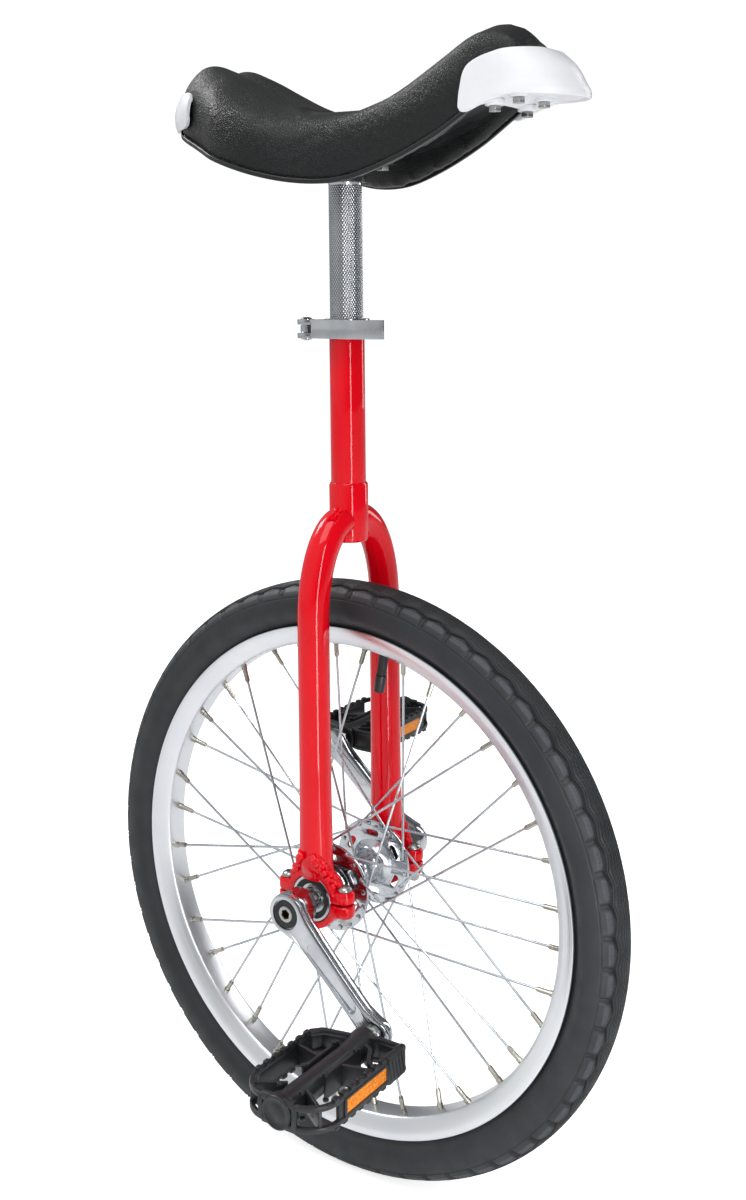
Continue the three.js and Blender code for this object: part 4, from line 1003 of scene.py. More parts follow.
# Section of the rubber ring round the crank bolt, as (radius, y from the crank's face).
DUST_RING = [(6.6, 0.9), (7.0, 0.5), (10.4, 0.5), (10.9, 0.9), (10.9, 4.5), (6.6, 4.5)]
SOCKET_CORNERS = 4.0                   # radius over the corners of the crank bolt's socket


def add_cranks():
    for side, flip, angle in crank_places():
        put = placer(crank_frame(angle), flip)
        rebuilt("crank", side, put(crank_solids()), "polished_alloy", sharp=40)
        ring = [(radius, CRANK_FACE + y) for radius, y in DUST_RING]
        built("crank_dust_ring_" + side, put([turned(ring, 48)]), "wheel", "black_rubber")
        socket = circle(SOCKET_CORNERS, steps=6)
        head = moved(plate(circle(6.4, steps=40), [socket], 5.0, 0.5), UPRIGHT)
        shank = rod(4.6, CRANK_FACE + 5.2, CRANK_FACE + 8.0, 24)
        rebuilt("crank_bolt", side, put([shifted(head, 0, CRANK_FACE + 3.2, 0), shank]),
                "plain_steel")
        # The socket's lining and bottom take the dark steel as painted shade in the hex hole.
        lining = moved(plate(socket, [circle(SOCKET_CORNERS - 0.6, steps=6)], 3.8, 0.1), UPRIGHT)
        bottom = rod(3.8, CRANK_FACE + 4.6, CRANK_FACE + 5.3, 24, edge=0.1)
        built("crank_bolt_socket_" + side,
              put([shifted(lining, 0, CRANK_FACE + 3.3, 0), bottom]), "wheel", "plain_steel",
              SOCKET_SHADE_STEEL)


# -------- bearing housings

HOUSING_RADIUS = 24.0
HOUSING_BORE = 18.8
HOUSING_DEPTH = 16.6
HOUSING_GAP = 0.9                      # from the split to each half
EAR_X = 27.5                           # the bolts' distance from the axle
EAR_REACH = 28.0                       # of the flat web under each ear
EAR_BLOCK_START = 0.72                 # of the way out to the bolt
EAR_BLOCK_HALF_WIDTH = 7.6
EAR_SECTION = [(0, HOUSING_GAP), (7.0, HOUSING_GAP), (7.9, HOUSING_GAP + 0.9), (8.0, 6),
               (7.6, 8.8), (6.4, 10.2), (0, 10.4)]


def ear_half(top):
    """Half a bearing housing: a half ring with a round ear at each side, about the axle."""
    sign = 1 if top else -1
    corner = [(EAR_REACH - 1, HOUSING_GAP), (EAR_REACH, HOUSING_GAP + 1), (EAR_REACH, 9.2),
              (EAR_REACH - 1, 10.2), (24.2, 10.4)]
    outer = arc(HOUSING_RADIUS, 24, 156, 22)
    inner = arc(HOUSING_BORE, 170, 14, 26)
    outline = [(HOUSING_BORE, HOUSING_GAP), *corner, *outer,
               *[(-x, y) for x, y in reversed(corner)], (-HOUSING_BORE, HOUSING_GAP), *inner]
    ring = moved(plate(outline, [], HOUSING_DEPTH, 1.3), UPRIGHT)
    solids = [shifted(ring, 0, -LEG_Y, 0)]
    for x in (-EAR_X, EAR_X):
        solids.append(turned(EAR_SECTION, 40, x, -LEG_Y, vertical=True))
        solids.append(rounded_box(*sorted((x, x * EAR_BLOCK_START)),
                                  -LEG_Y - EAR_BLOCK_HALF_WIDTH, -LEG_Y + EAR_BLOCK_HALF_WIDTH,
                                  HOUSING_GAP + 0.1, 9.9, 1.4))
    return [([(x, y, sign * z) for x, y, z in points], faces) for points, faces in solids]


# The weld's line from the leg's outer face to an ear: x, distance out from the leg, height.
WELD_LINE = [(6.3, 12.0, 36.5), (9.3, 9.8, 32), (12.0, 7.0, 27.5), (16.3, 4.6, 21.5),
             (21.6, 2.2, 14.4)]
WELD_LUMP = 2.3                        # a lump's middle radius


def weld_lumps():
    """Painted weld metal that runs down from the leg's outer face to the two ears."""
    turns = [math.pi * k / 10 for k in range(11)]
    solids = []
    for sign in (1, -1):
        for row, place in enumerate(spline(WELD_LINE, 3)):
            for column in (-1, 0, 1):
                size = WELD_LUMP + 0.6 * math.sin(2.9 * row + 3.7 * column + sign)
                x = place.x + 1.5 * column + 0.5 * math.sin(5.1 * row + column)
                y = place.y - 2.4 * column + 0.7 * math.sin(3.3 * row)
                z = place.z + 0.9 * math.sin(4.3 * row + 2.3 * column)
                profile = [(size * math.sin(a), z - size * math.cos(a)) for a in turns]
                solids.append(turned(profile, 20, sign * x, -LEG_Y - y, vertical=True))
    return solids


FOOT_FLARE = 0.36


def leg_foot_flare(share):
    """The leg's foot spreads along the ring and thins to the ring's own thickness."""
    ease = share * share * (3 - 2 * share)
    return LEG_FOOT_RADIUS / LEG_RADIUS + FOOT_FLARE * ease, 1.0 - FOOT_FLARE * ease


# Sections about a cap bolt's axis, as (radius, height from the axle).
CAP_BOLT = [(0, -14.8), (2.9, -14.8), (2.9, 10.45), (5.5, 10.45), (5.9, 10.9), (5.8, 11.7),
            (5.2, 12.7), (4.1, 13.6), (2.9, 14.1), (2.1, 14.2), (2.0, 12.6), (0, 12.6)]
ACORN_DOME = [(3.1, -13.4), (5.0, -13.4), (4.9, -14.4), (4.3, -16.0), (3.0, -17.2),
              (1.5, -17.7), (0, -17.8), (0, -15.0), (3.1, -14.9)]


def add_cap_bolts(end, x, put, side):
    """A domed socket bolt from above and an acorn nut below, through one ear."""
    bolt = turned(CAP_BOLT, 40, x, -LEG_Y, vertical=True)
    rebuilt("cap_bolt_" + end, side, put([bolt]), "plain_steel", sharp=30)
    nut = [hexagon_nut(5.9, -13.8, -10.5, x, -LEG_Y),
           turned(ACORN_DOME, 40, x, -LEG_Y, vertical=True)]
    rebuilt("cap_nut_" + end, side, put(nut), "plain_steel", sharp=30)


# Sections about the axle as (radius, y): the bearing's rubber seal and its outer ring.
SEAL_SECTION = [(11.9, -57.0), (12.3, -57.2), (13.4, -56.6), (15.4, -57.2), (15.9, -56.9),
                (15.9, -44.2), (11.9, -44.2)]
RACE_SECTION = [(15.7, -57.2), (16.1, -57.8), (18.0, -57.8), (18.5, -57.3), (18.5, -43.6),
                (18.0, -43.1), (16.1, -43.1), (15.7, -43.6)]


def add_housings():
    heights = np.linspace(LEG_FOOT_Z - WHEEL_RADIUS + 0.3, 15, 12)
    for side, flip in (("right", False), ("left", True)):
        put = placer(Matrix.Translation((0, 0, WHEEL_RADIUS)), flip)
        socket = tube([Vector((0, -LEG_Y, z)) for z in heights], LEG_RADIUS, 56, leg_foot_flare)
        rebuilt("bearing_housing", side, put([*ear_half(True), socket, *weld_lumps()]),
                "red_paint", sharp=42)
        rebuilt("bearing_cap", side, put(ear_half(False)), "red_paint", sharp=42)
        built("bearing_seal_" + side, put([turned(SEAL_SECTION, 56)]), "frame", "black_rubber")
        rebuilt("bearing_outer", side, put([turned(RACE_SECTION, 64)]), "bearing_steel")
        add_cap_bolts("front", EAR_X, put, side)
        add_cap_bolts("rear", -EAR_X, put, side)


# -------- pedals

PEDAL_HALF = 36.0
RAIL_TOP = 9.4
TOOTH_PITCH = 9.4


def cage_plan(inset):
    """The cage from above: cut back behind the crank and rounded at the far end."""
    half = PEDAL_HALF - inset
    near = -108.0 - inset
    far = -213.4 + inset
    corner = 24.0 - inset
    outline = [(half, near), (14 + inset * 0.3, near), (4, near - 4.6), (-12, near - 8.2),
               (-29 + inset, near - 12), (-half, near - 19), (-half, far + corner)]
    outline += arc(corner, 180, 270, 10, -half + corner, far + corner)[1:]
    outline += arc(corner, 270, 360, 10, half - corner, far + corner)
    return outline


def rib_between(start, end, width, low, high, edge=0.5):
    """An upright web between two places in plan."""
    across = Vector((end[0] - start[0], end[1] - start[1], 0))
    length = across.length
    block = rounded_box(-0.5 * width, 0.5 * width, 0, length, low, high, edge)
    turn = Matrix.Rotation(math.atan2(across.y, across.x) - math.pi / 2, 4, "Z")
    return moved(block, Matrix.Translation((start[0], start[1], 0)) @ turn)


CAGE_WALL = 3.6
RAIL_BOTTOM = 5.4                      # of the upper rail; the lower one mirrors it
SIDE_WEB_X = PEDAL_HALF - CAGE_WALL / 2 - 0.3
TOOTH_X = PEDAL_HALF - 2.2
TOOTH_LENGTH = 5.4
TREAD_END = -196.0
# The web along the crank's end and the curved arm to the corner block, in plan.
NEAR_WEB = [(34, -109.8), (14, -109.8), (4, -114), (-12, -118), (-29, -121.5), (-34.4, -129)]
CORNER_ARM = [(9, -120, 0), (16, -124, 0), (21, -133, 0), (26, -139, 0), (33, -141, 0)]
# The barrel round the pedal axle and the disc at its outer end, as (radius, y).
CAGE_BARREL = [(0, -213.5), (9.6, -213.5), (9.8, -196), (9.4, -160), (9.2, -130), (10.4, -120),
               (11.6, -114), (11.8, -107), (11.0, -106.2), (5.6, -106.2), (5.6, -109), (0, -109)]
END_DISC = [(0, -213.6), (6.4, -213.6), (6.9, -213.2), (7.6, -213.2), (8.1, -213.6),
            (9.6, -213.6), (10.6, -214.4), (11.6, -214.2), (12.0, -213.4), (12.0, -208.5),
            (11.0, -205), (0, -205)]
FOOT_HEIGHT = 8.2                      # where the round feet over the webs begin
# Far and near end and half height of a reflector, and the same of the lip round it.
LENS = (-181.6, -133.4, 4.9)
LENS_LIP = (-184.4, -130.8, 6.9)


def cage_rails():
    """The two rails and the webs that join them."""
    solids = []
    for low, high in ((RAIL_BOTTOM, RAIL_TOP), (-RAIL_TOP, -RAIL_BOTTOM)):
        rail = plate(cage_plan(0), [cage_plan(CAGE_WALL)], high - low, 0.9)
        solids.append(shifted(rail, 0, 0, (low + high) / 2))
    for x, near in ((SIDE_WEB_X, -109), (-SIDE_WEB_X, -128)):
        solids.append(rib_between((x, near), (x, -190), CAGE_WALL - 0.8, -7, 7))
    for start, end in zip(NEAR_WEB, NEAR_WEB[1:]):
        solids.append(rib_between(start, end, CAGE_WALL - 1, -7.5, 7.5))
    return solids


def cage_teeth():
    """The toothed tread on both faces of the front and the rear rail."""
    solids = []
    for x, place in ((TOOTH_X, -114.0), (-TOOTH_X, -131.0)):
        while place > TREAD_END:
            for sign in (1, -1):
                low, high = sorted((sign * (RAIL_TOP - 1.2), sign * (RAIL_TOP + 1.8)))
                solids.append(rounded_box(x - 2.2, x + 2.2, place - TOOTH_LENGTH, place,
                                          low, high, 1.1))
            place -= TOOTH_PITCH
    return solids


def cage_inside():
    """The barrel round the axle, the webs that hold it, their feet and the curved arm."""
    solids = [turned(CAGE_BARREL, 40)]
    for sign in (1, -1):
        solids.append(rib_between((sign * 8, -152), (sign * 33.5, -146), 2.6, -8.0, 8.0))
        solids.append(rib_between((sign * 8, -190), (sign * 30, -204), 2.6, -8.0, 8.0))
        solids.append(rib_between((sign * 9.5, -171), (sign * 9.5, -128), 2.6, -8.6, 8.6))
        for place in (-133, -170, -197):
            for lift in (FOOT_HEIGHT, -FOOT_HEIGHT):
                low, high = sorted((lift, lift * 1.28))
                solids.append(rod(2.2, low, high, 20, sign * 9.5, place, 0.6, vertical=True))
    arm = spline(CORNER_ARM, 6)
    for first, second in zip(arm, arm[1:]):
        solids.append(rib_between(first[:2], second[:2], 3.0, -7.6, 7.6, 0.4))
    return solids


def cage_corner():
    """The ribbed block at the corner next to the crank."""
    solids = [rounded_box(31.6, 36.6, -131, -108.2, -10.6, 10.6, 1.6)]
    lean = Matrix.Rotation(math.radians(14), 4, "X")
    for k in range(5):
        rib = rounded_box(-0.7, 0.5, -1.1, 1.1, -8.4, 8.4, 0.4)
        solids.append(moved(rib, Matrix.Translation((36.7, -112 - 4.1 * k, 0)) @ lean))
    return solids


def lens_lips():
    """The lips round the front and the rear reflector."""
    solids = []
    far, near, tall = LENS
    lip_far, lip_near, lip_tall = LENS_LIP
    for way in (1, -1):
        x = way * (PEDAL_HALF - 0.2)
        for *sides, low, high in ((lip_far, lip_near, tall, lip_tall),
                                  (lip_far, lip_near, -lip_tall, -tall),
                                  (lip_far, far, -6, 6), (near, lip_near, -6, 6)):
            solids.append(rounded_box(x - 0.8, x + 0.8, *sides, low, high, 0.4))
    return solids


def cage_end():
    """The disc at the outer end, with a post at each side and a bar above and below."""
    solids = [turned(END_DISC, 64)]
    for low, high in ((12, 16.4), (-16.4, -12)):
        solids.append(rounded_box(low, high, -213.4, -209.6, -8.6, 8.6, 0.7))
    for low, high in ((5.5, 10.8), (-10.8, -5.5)):
        solids.append(rounded_box(-14, 14, -213.0, -208.6, low, high, 1.0))
    return solids


def cage_solids():
    """The right pedal's cage about the pedal axle, with its outer end at -Y."""
    return [*cage_rails(), *cage_teeth(), *cage_inside(), *cage_corner(), *lens_lips(),
            *cage_end()]


def pedal_centre(angle):
    turn = math.radians(angle)
    return Vector((CRANK_LENGTH * math.cos(turn), 0, WHEEL_RADIUS + CRANK_LENGTH * math.sin(turn)))


def add_pedals():
    far, near, tall = LENS
    for side, flip, angle in crank_places():
        put = placer(Matrix.Translation(pedal_centre(angle)), flip)
        rebuilt("pedal_cage", side, put(cage_solids()), "black_plastic", sharp=40)
        for end, way in (("front", 1), ("rear", -1)):
            x = way * (PEDAL_HALF - 0.8)
            lens = rounded_box(x - 0.9, x + 0.9, far, near, -tall, tall, 0.4)
            built(f"reflector_lens_{end}_{side}", put([lens]), "pedal_" + side,
                  "amber_plastic", replaces=(f"reflector_{end}_{side}",))


# -------- saddle

# Side view and plan of the saddle, each as (x, value) from tail to nose.
SADDLE_TOP = [(-156, 880), (-152, 891), (-146, 899), (-136, 908), (-117, 914.5), (-95, 905),
              (-60, 887), (-25, 874), (5, 871), (35, 875), (70, 887), (105, 908), (132, 924.5),
              (150, 927), (166, 921), (178, 909), (187, 894)]
SADDLE_CROWN = [(-156, 2), (-130, -2), (-70, -2), (-10, 3), (60, 6), (187, 6)]
SADDLE_SKIRT = [(-156, 866), (-148, 860.5), (-137, 855), (-120, 848), (-95, 838), (-60, 825),
                (-25, 815), (5, 811), (35, 813), (70, 824), (105, 840), (132, 856.5), (150, 868),
                (166, 872.5), (187, 876)]
SADDLE_HALF_WIDTH = [(-156, 6), (-153.5, 17), (-149, 27.7), (-137, 42.2), (-123, 51),
                     (-112, 55.5), (-98, 62.5), (-80, 71.5), (-50, 73), (-25, 67), (5, 57),
                     (35, 50), (70, 45), (105, 40.5), (132, 37.5), (160, 34.5), (175, 29),
                     (187, 17)]
BASE_TOP = [(-137, 873), (-110, 868), (-60, 852), (-36, 843), (36, 843), (80, 854), (120, 868),
            (150, 876), (178, 881)]
CURVES = {}


def station(table, x):
    """The value of a table of stations at x, on a smooth curve through them."""
    key = id(table)
    if key not in CURVES:
        curve = spline([(at, value, 0) for at, value in table], 10)
        CURVES[key] = ([point.x for point in curve], [point.y for point in curve])
    return float(np.interp(x, *CURVES[key]))


PAD_INSET = 1.8                        # leaves room for the pad to swell
PAD_WALL = 12.0
NOSE_WALL = 9.0
HANDLE_BACK_X = 131.0                  # where the handle's arms begin
BASE_ENDS = (-137, 174)                # the plastic base's length under the pad


def base_top(x):
    return station(BASE_TOP, clamped(x, *BASE_ENDS))


def saddle_ring(x, inset):
    """The pad's section at x, drawn in by the inset, as (y, z) points."""
    half = max(station(SADDLE_HALF_WIDTH, x) - inset, 3.0)
    top = station(SADDLE_TOP, x) - inset
    skirt = station(SADDLE_SKIRT, x)
    drop = top - skirt
    crown = station(SADDLE_CROWN, x)
    over = [(half - 1.5, skirt), (half, skirt + drop * 0.3), (half * 0.97, skirt + drop * 0.6),
            (half * 0.84, skirt + drop * 0.83), (half * 0.5, top - crown), (0, top)]
    right = spline([(y, z, 0) for y, z in over], 4)
    outer = [(p.x, p.y) for p in right] + [(-p.x, p.y) for p in reversed(right[:-1])]
    room = max(half - (PAD_WALL if x < HANDLE_BACK_X else NOSE_WALL), 3.0)
    inside = min(base_top(x) + 0.6, top - 8)
    return outer + [(-room, skirt), (-room, inside), (room, inside), (room, skirt)]


CLOTH_FRAMES = 20


def cloth_filled(piece, held, cap):
    """Swells a pad with Blender's cloth pressure, and keeps the result within a cap, in metres."""
    group = piece.vertex_groups.new(name="held")
    group.add(held, 1.0, "REPLACE")
    start = np.zeros(len(piece.data.vertices) * 3)
    piece.data.vertices.foreach_get("co", start)
    start = start.reshape(-1, 3)
    cloth = piece.modifiers.new("fill", "CLOTH")
    cloth.settings.quality = 5
    cloth.settings.mass = 0.3
    cloth.settings.tension_stiffness = 18
    cloth.settings.compression_stiffness = 18
    cloth.settings.shear_stiffness = 8
    cloth.settings.bending_stiffness = 3
    cloth.settings.use_pressure = True
    cloth.settings.uniform_pressure_force = 4
    cloth.settings.vertex_group_mass = "held"
    cloth.settings.effector_weights.gravity = 0
    cloth.point_cache.frame_start = 1
    cloth.point_cache.frame_end = CLOTH_FRAMES
    scene = bpy.context.scene
    for step in range(1, CLOTH_FRAMES + 1):
        scene.frame_set(step)
    swollen = piece.evaluated_get(bpy.context.evaluated_depsgraph_get()).to_mesh()
    end = np.zeros(len(start) * 3)
    swollen.vertices.foreach_get("co", end)
    push = end.reshape(-1, 3) - start
    length = np.linalg.norm(push, axis=1, keepdims=True)
    push *= np.minimum(1.0, cap / np.maximum(length, 1e-9))
    piece.modifiers.remove(cloth)
    piece.vertex_groups.remove(group)
    piece.data.vertices.foreach_set("co", (start + push).reshape(-1))
    scene.frame_set(1)


PAD_VOXEL = 0.004                      # metres
PAD_SWELL = 0.0026                     # metres
PAD_NOSE_X = 172                       # the nose in front of this doesn't swell
# The channel along the saddle's middle: its depth and half width, and where it ends.
CHANNEL_DEPTH = 5.5
CHANNEL_HALF_WIDTH = 11.0
CHANNEL_END_X = -48.0
CHANNEL_FADE = 14.0


def pad_form():
    """The pad as a working object, evened out by a voxel remesh."""
    stations = np.concatenate([np.linspace(-155.5, -130, 12), np.linspace(-125, 186, 60)])
    points, faces = loft([[(x, y, z) for y, z in saddle_ring(x, PAD_INSET)] for x in stations])
    mesh = bpy.data.meshes.new("saddle_form")
    mesh.from_pydata([tuple(value * MM for value in point) for point in points], [], faces)
    form = in_scene("saddle_form", mesh)
    voxels = form.modifiers.new("voxels", "REMESH")
    voxels.mode = "VOXEL"
    voxels.voxel_size = PAD_VOXEL
    smooth = form.modifiers.new("smooth", "SMOOTH")
    smooth.factor = 0.5
    smooth.iterations = 4
    form.data = evaluated(form)
    return form


def held_points(form):
    """Points of the pad that don't swell: its inside, the foot of its skirt and its nose."""
    held = []
    for vertex in form.data.vertices:
        x, y, z = vertex.co / MM
        inside = abs(y) < station(SADDLE_HALF_WIDTH, x) - 9 and z < base_top(x) + 4
        if inside or z < station(SADDLE_SKIRT, x) + 3.5 or x > PAD_NOSE_X:
            held.append(vertex.index)
    return held


def press_channel(mesh):
    """Presses the middle's channel into the pad's top, deeper towards the tail."""
    for vertex in mesh.vertices:
        x, y, z = vertex.co / MM
        if z > station(SADDLE_TOP, x) - 16:
            tail = 1 / (1 + math.exp((x - CHANNEL_END_X) / CHANNEL_FADE))
            depth = CHANNEL_DEPTH * tail * math.exp(-(y / CHANNEL_HALF_WIDTH) ** 2)
            vertex.co.z -= depth * MM


def add_saddle_pad():
    form = pad_form()
    cloth_filled(form, held_points(form), PAD_SWELL)
    finer = form.modifiers.new("finer", "SUBSURF")
    finer.levels = finer.render_levels = 1
    mesh = evaluated(form)
    bpy.data.objects.remove(form)
    press_channel(mesh)
    cover = show("saddle_cover", mesh, "saddle", "saddle_cover", replaces=("saddle_pad",),
                 sharp=60)


# The edging's section, as (distance out, height) from the foot of the skirt.
TRIM_SECTION = [(-2.4, -0.6), (0.1, -0.6), (0.5, 0.2), (0.6, 1.8), (0.4, 3.0), (0.0, 3.3),
                (-2.4, 2.8)]


def add_saddle_trim():
    """The smooth edging that is bound round the foot of the skirt."""
    solids = []
    for sign in (1, -1):
        rings = []
        for x in np.linspace(-153, 150.0, 110):
            half = station(SADDLE_HALF_WIDTH, x)
            low = station(SADDLE_SKIRT, x)
            rings.append([(x, sign * (half - 1.3 + out), low + up) for out, up in TRIM_SECTION])
        solids.append(loft(rings))
    built("saddle_edge_trim", solids, "saddle", "saddle_cover", EDGE_TRIM, sharp=50)


# -------- handle and bumper

HANDLE_LOW = [(131, 856), (138, 857.5), (147, 861), (157, 864.3), (169, 867.5), (190, 867),
              (214, 866)]
HANDLE_HIGH = [(131, 884), (134, 888.5), (140, 893), (148, 896.5), (158, 899), (170, 901),
               (190, 902), (214, 902)]
HANDLE_CENTRE_X = 165.0
HANDLE_REACH = 48.5
HANDLE_HALF_WIDTH = 42.0
HANDLE_STEPS = 96
HANDLE_WALL = 3.2
HANDLE_LEAN = 3                        # of the arms, from foot to top
NOSE_LEAN = 24                         # how much more the nose leans
ARM_SHARE = 0.25                       # of the way round, for each of the two arms
ARM_SPREAD = 0.03                      # how much wider the arms are towards the back


def handle_plan(share):
    """Place, outward direction and nearness to the nose at a share of the way round."""
    side = -1 if share < 0.5 else 1
    from_end = min(share, 1 - share)
    if from_end < ARM_SHARE:
        x = HANDLE_BACK_X + (HANDLE_CENTRE_X - HANDLE_BACK_X) * from_end / ARM_SHARE
        return x, side * (HANDLE_HALF_WIDTH + (HANDLE_CENTRE_X - x) * ARM_SPREAD), 0, side, 0.0
    turn = ((share - ARM_SHARE) / (1 - 2 * ARM_SHARE) - 0.5) * math.pi
    out = Vector((math.cos(turn) / HANDLE_REACH, math.sin(turn) / HANDLE_HALF_WIDTH)).normalized()
    return (HANDLE_CENTRE_X + HANDLE_REACH * math.cos(turn),
            HANDLE_HALF_WIDTH * math.sin(turn), out.x, out.y, math.cos(turn))


def band_ring(section, x, y, out_x, out_y):
    smooth = spline([(out, z, 0) for out, z in section], 4)
    return [(x + out_x * p.x, y + out_y * p.x, p.y) for p in smooth]


def end_trim(step, steps, span):
    """How far a band is rounded off: from 1 at its ends to 0 a span of steps further in."""
    near = min(step, steps - step) / span
    return 0.0 if near >= 1 else 1 - math.sqrt(max(1 - (1 - near) ** 2, 0.0))


def handle_section(low, high, nose):
    """The band's section, as (distance out, height); it leans in most at the nose."""
    tall = high - low
    lean = HANDLE_LEAN + NOSE_LEAN * nose
    wall = HANDLE_WALL
    return [(-0.8, low), (-0.1, low + 0.9), (0, low + tall * 0.15),
            (-lean * 0.13, low + tall * 0.34), (-lean * 0.33, low + tall * 0.61),
            (-lean * 0.56, low + tall * 0.8), (-lean * 0.9, high - 0.6),
            (-lean - 0.6, high), (-lean - 1.8, high - 1.2),
            (-lean * 0.56 - wall, low + tall * 0.8 - 3),
            (-lean * 0.33 - wall, low + tall * 0.61 - 3), (-wall, low + tall * 0.2),
            (-wall, low + 0.8), (-wall + 0.8, low)]


def handle_band():
    """The band that runs round the nose."""
    rings = []
    for k in range(HANDLE_STEPS + 1):
        x, y, out_x, out_y, nose = handle_plan(k / HANDLE_STEPS)
        trim = end_trim(k, HANDLE_STEPS, 5)
        low, high = station(HANDLE_LOW, x) + 4 * trim, station(HANDLE_HIGH, x) - 9 * trim
        rings.append(band_ring(handle_section(low, high, nose), x, y, out_x, out_y))
    return loft(rings)


def handle_floor():
    """The domed floor that the handle's bolts go through."""
    rings = []
    for x in np.linspace(147.5, 211.5, 26):
        share = clamped((x - HANDLE_CENTRE_X) / (HANDLE_REACH - 1), 0.0, 0.999)
        half = (HANDLE_HALF_WIDTH - 1.2) * math.sqrt(1 - share ** 2)
        low = station(HANDLE_LOW, x) + 1
        across = np.linspace(-1, 1, 13)
        under = [(x, half * a, low + 2.2 * (1 - a * a)) for a in across]
        over = [(x, half * a, low + 2.2 * (1 - a * a) + 2.8) for a in reversed(across)]
        rings.append(under + over)
    return loft(rings)


def handle_boss(index):
    """The boss that a bolt's head bears on."""
    low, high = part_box(f"handle_bolt_{index}")
    x, y = (low.x + high.x) / 2 / MM, (low.y + high.y) / 2 / MM
    return rod(7.4, low.z / MM + 4.4, station(HANDLE_LOW, x) + 4, 32, x, y, 0.8, vertical=True)


def add_handle():
    tabs = [rounded_box(139, 150, y - 1.6, y + 1.6, 862, 869, 0.7) for y in (-38.2, 38.2)]
    bosses = [handle_boss(index) for index in range(1, 5)]
    built("grab_handle", [handle_band(), handle_floor(), *bosses, *tabs], "saddle",
          "white_plastic", replaces=("front_handle",), sharp=50)


# The bumper's outer face, as (height, distance from the middle of the tail's curve).
BUMPER_FACE = [(858, 56.5), (863, 58.6), (870, 59.6), (878, 58.8), (885, 56.4), (892, 52.4)]
BUMPER_STEPS = 60
BUMPER_WALL = 3.2
BUMPER_HALF_TURN = 74                  # degrees to each side of the tail
BUMPER_CENTRE_X = -101                 # middle of the tail's curve
BUMPER_MIDDLE_Z = 876
BUMPER_BELOW, BUMPER_ABOVE = 15.6, 15
BUMPER_TAPER = 0.4                     # how much lower its two ends are


def add_bumper():
    rings = []
    for k in range(BUMPER_STEPS + 1):
        turn = math.radians(180 + BUMPER_HALF_TURN * (2 * k / BUMPER_STEPS - 1))
        height = 1 - BUMPER_TAPER * end_trim(k, BUMPER_STEPS, 6)
        low, high = BUMPER_MIDDLE_Z - BUMPER_BELOW * height, BUMPER_MIDDLE_Z + BUMPER_ABOVE * height
        face = [(station(BUMPER_FACE, z), z) for z in np.linspace(low, high, 6)]
        inner = [(r - BUMPER_WALL, clamped(z, low + 0.8, high - 0.8)) for r, z in reversed(face)]
        smooth = spline([(r, z, 0) for r, z in face + inner], 3)
        rings.append([(BUMPER_CENTRE_X + p.x * math.cos(turn), p.x * math.sin(turn), p.y)
                      for p in smooth])
    built("tail_bumper", [loft(rings)], "saddle", "white_plastic", replaces=("rear_bumper",),
          sharp=50)


# -------- seat post

KNURL_DEPTH = 0.4
KNURL_COUNT = 38                       # ridges round the post, in each direction
KNURL_SLANT = 0.62                     # sideways for each millimetre up
KNURL_STEP = 0.5
KNURL_LOW, KNURL_HIGH = 640.0, 812.0
POST_LOW, POST_HIGH = 582.4, 827.4
POST_SURFACE = POST_RADIUS - 0.05
POST_BEVEL = 0.6
POST_SIDES = 240


def knurl_cut(turn, z):
    """How deep the knurl's grooves are at an angle and a height."""
    if not KNURL_LOW < z < KNURL_HIGH:
        return 0.0
    across = POST_RADIUS * turn
    pitch = 2 * math.pi * POST_RADIUS / KNURL_COUNT
    first = abs(((across + z * KNURL_SLANT) / pitch) % 1 - 0.5) * 2
    second = abs(((across - z * KNURL_SLANT) / pitch) % 1 - 0.5) * 2
    return KNURL_DEPTH * (1 - min(1, 1.5 * min(first, second)))


def add_post():
    """A plated post whose grip length is knurled with a diamond pattern."""
    turns = [2 * math.pi * k / POST_SIDES for k in range(POST_SIDES)]
    heights = [POST_LOW, POST_LOW + POST_BEVEL, KNURL_LOW - KNURL_STEP,
               *np.arange(KNURL_LOW, KNURL_HIGH, KNURL_STEP), KNURL_HIGH + KNURL_STEP,
               POST_HIGH - POST_BEVEL, POST_HIGH]
    rings = []
    for z in heights:
        edge = POST_SURFACE - (POST_BEVEL if z in (POST_LOW, POST_HIGH) else 0)
        radii = [edge - knurl_cut(turn, z) for turn in turns]
        rings.append([(radius * math.cos(turn), radius * math.sin(turn), z)
                      for radius, turn in zip(radii, turns)])
    post = built("seat_post_knurled", [loft(rings)], "saddle", "chrome_plate", knurled_plate(),
                 ("seat_post",), sharp=180)
    # the groove attribute carries the painted shade in the knurl's cuts
    groove = post.data.attributes.new("groove", "FLOAT", "POINT")
    for vertex, value in zip(post.data.vertices, groove.data):
        x, y, z = vertex.co / MM
        if KNURL_LOW < z < KNURL_HIGH:
            value.value = clamped((POST_SURFACE - math.hypot(x, y)) / KNURL_DEPTH)


# -------- clamp lever's barrel nut and lining

LEVER_PIVOT = (-27.0, -18.0)
RIVETS = [(704.3, 1), (689.2, -1)]     # height of each rivet's foot, and whether it faces up
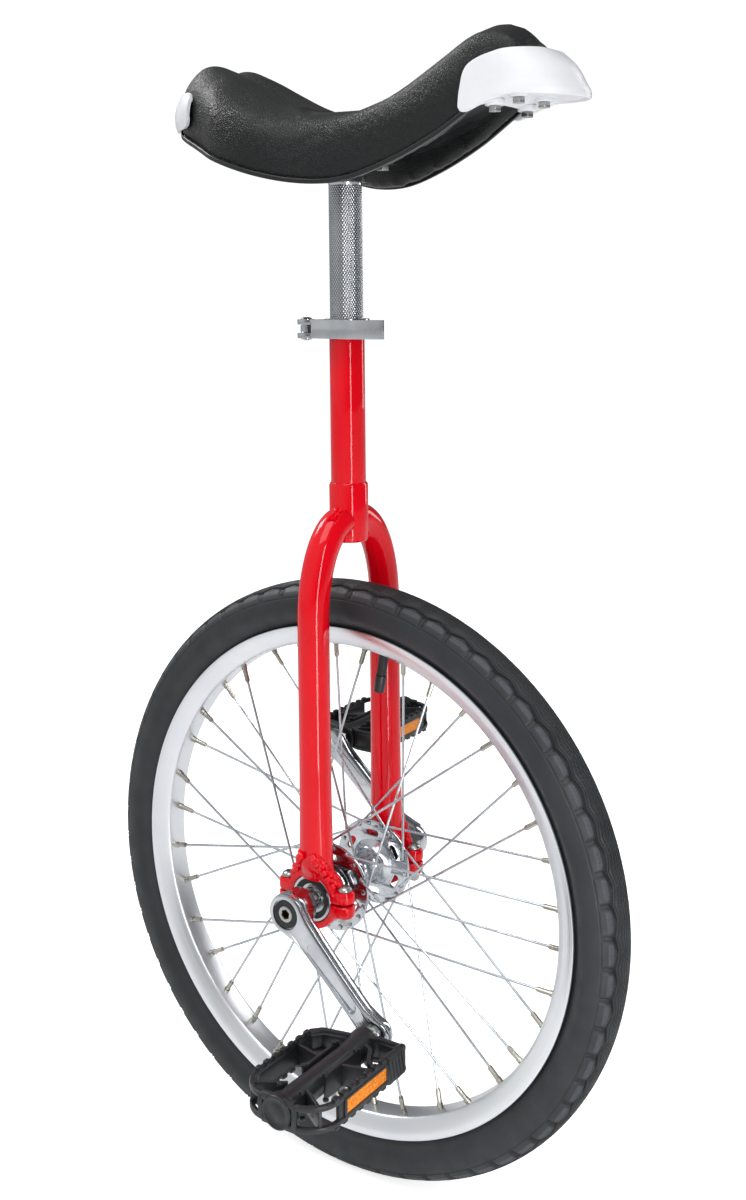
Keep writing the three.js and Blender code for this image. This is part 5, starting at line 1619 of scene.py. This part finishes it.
# Sections about the lever's pivot, as (radius, height): the barrel nut, and a rivet's dome
# above its foot.
BARREL_NUT = [(0, 693.6), (4.3, 693.6), (5.0, 694.4), (5.0, 699.1), (4.3, 699.9), (0, 699.9)]
RIVET_DOME = [(0, 0), (4.6, 0), (4.6, 0.5), (3.6, 1.4), (2.0, 1.9), (0, 2.0)]


def add_clamp_details():
    solids = [turned(BARREL_NUT, 48, *LEVER_PIVOT, vertical=True)]
    for foot, way in RIVETS:
        dome = [(radius, foot + height * way) for radius, height in RIVET_DOME]
        solids.append(turned(dome, 40, *LEVER_PIVOT, vertical=True))
    built("clamp_barrel_nut", solids, "frame", "chrome_plate")
    built("clamp_lever_lining", [rounded_box(-22.6, -19.2, -22.4, -17.8, 693.3, 700.2, 0.3)],
          "lever", "black_plastic")


# -------- the rest of the CAD shapes

# The CAD shapes that are kept, by their slot, with how far their edges are rounded over.
SOFTENED = {
    "red_paint": [("fork_crown", 1.4), ("seat_tube", 0.5)],
    "black_rubber": [("valve_stem", 0.4)],
    "polished_alloy": [("seat_clamp", 0.7), ("clamp_lever", 0.7)],
    "bearing_steel": [("bearing_inner_right", 0.3), ("bearing_inner_left", 0.3)],
    "plain_steel": [("hub_axle", 0.3), ("clamp_bolt", 0.3), ("clamp_pin", 0.4),
                    ("pedal_axle_right", 0.4), ("pedal_axle_left", 0.4)],
    "black_plastic": [("saddle_base", 0.5), ("post_bracket", 0.8), ("valve_cap", 0.5)],
}
CARRIED = {"inner_tube": "black_rubber", "rim_tape": "rim_tape_vinyl"}     # shown as they are


def add_softened():
    for slot, entries in SOFTENED.items():
        for node, edge in entries:
            softened(node, slot, edge=edge)
    for node in NODES:
        if node.startswith(("saddle_bolt", "handle_bolt")):
            softened(node, "plain_steel", edge=0.4)
    for node, slot in CARRIED.items():
        NODES[node].data.materials.clear()
        NODES[node].data.materials.append(MATERIALS[slot])


add_camera()
add_studio()
add_tyre()
add_rim()
add_spokes()
add_hub()
add_fork()
add_housings()
add_cranks()
add_pedals()
add_saddle_pad()
add_saddle_trim()
add_handle()
add_bumper()
add_post()
add_clamp_details()
add_softened()
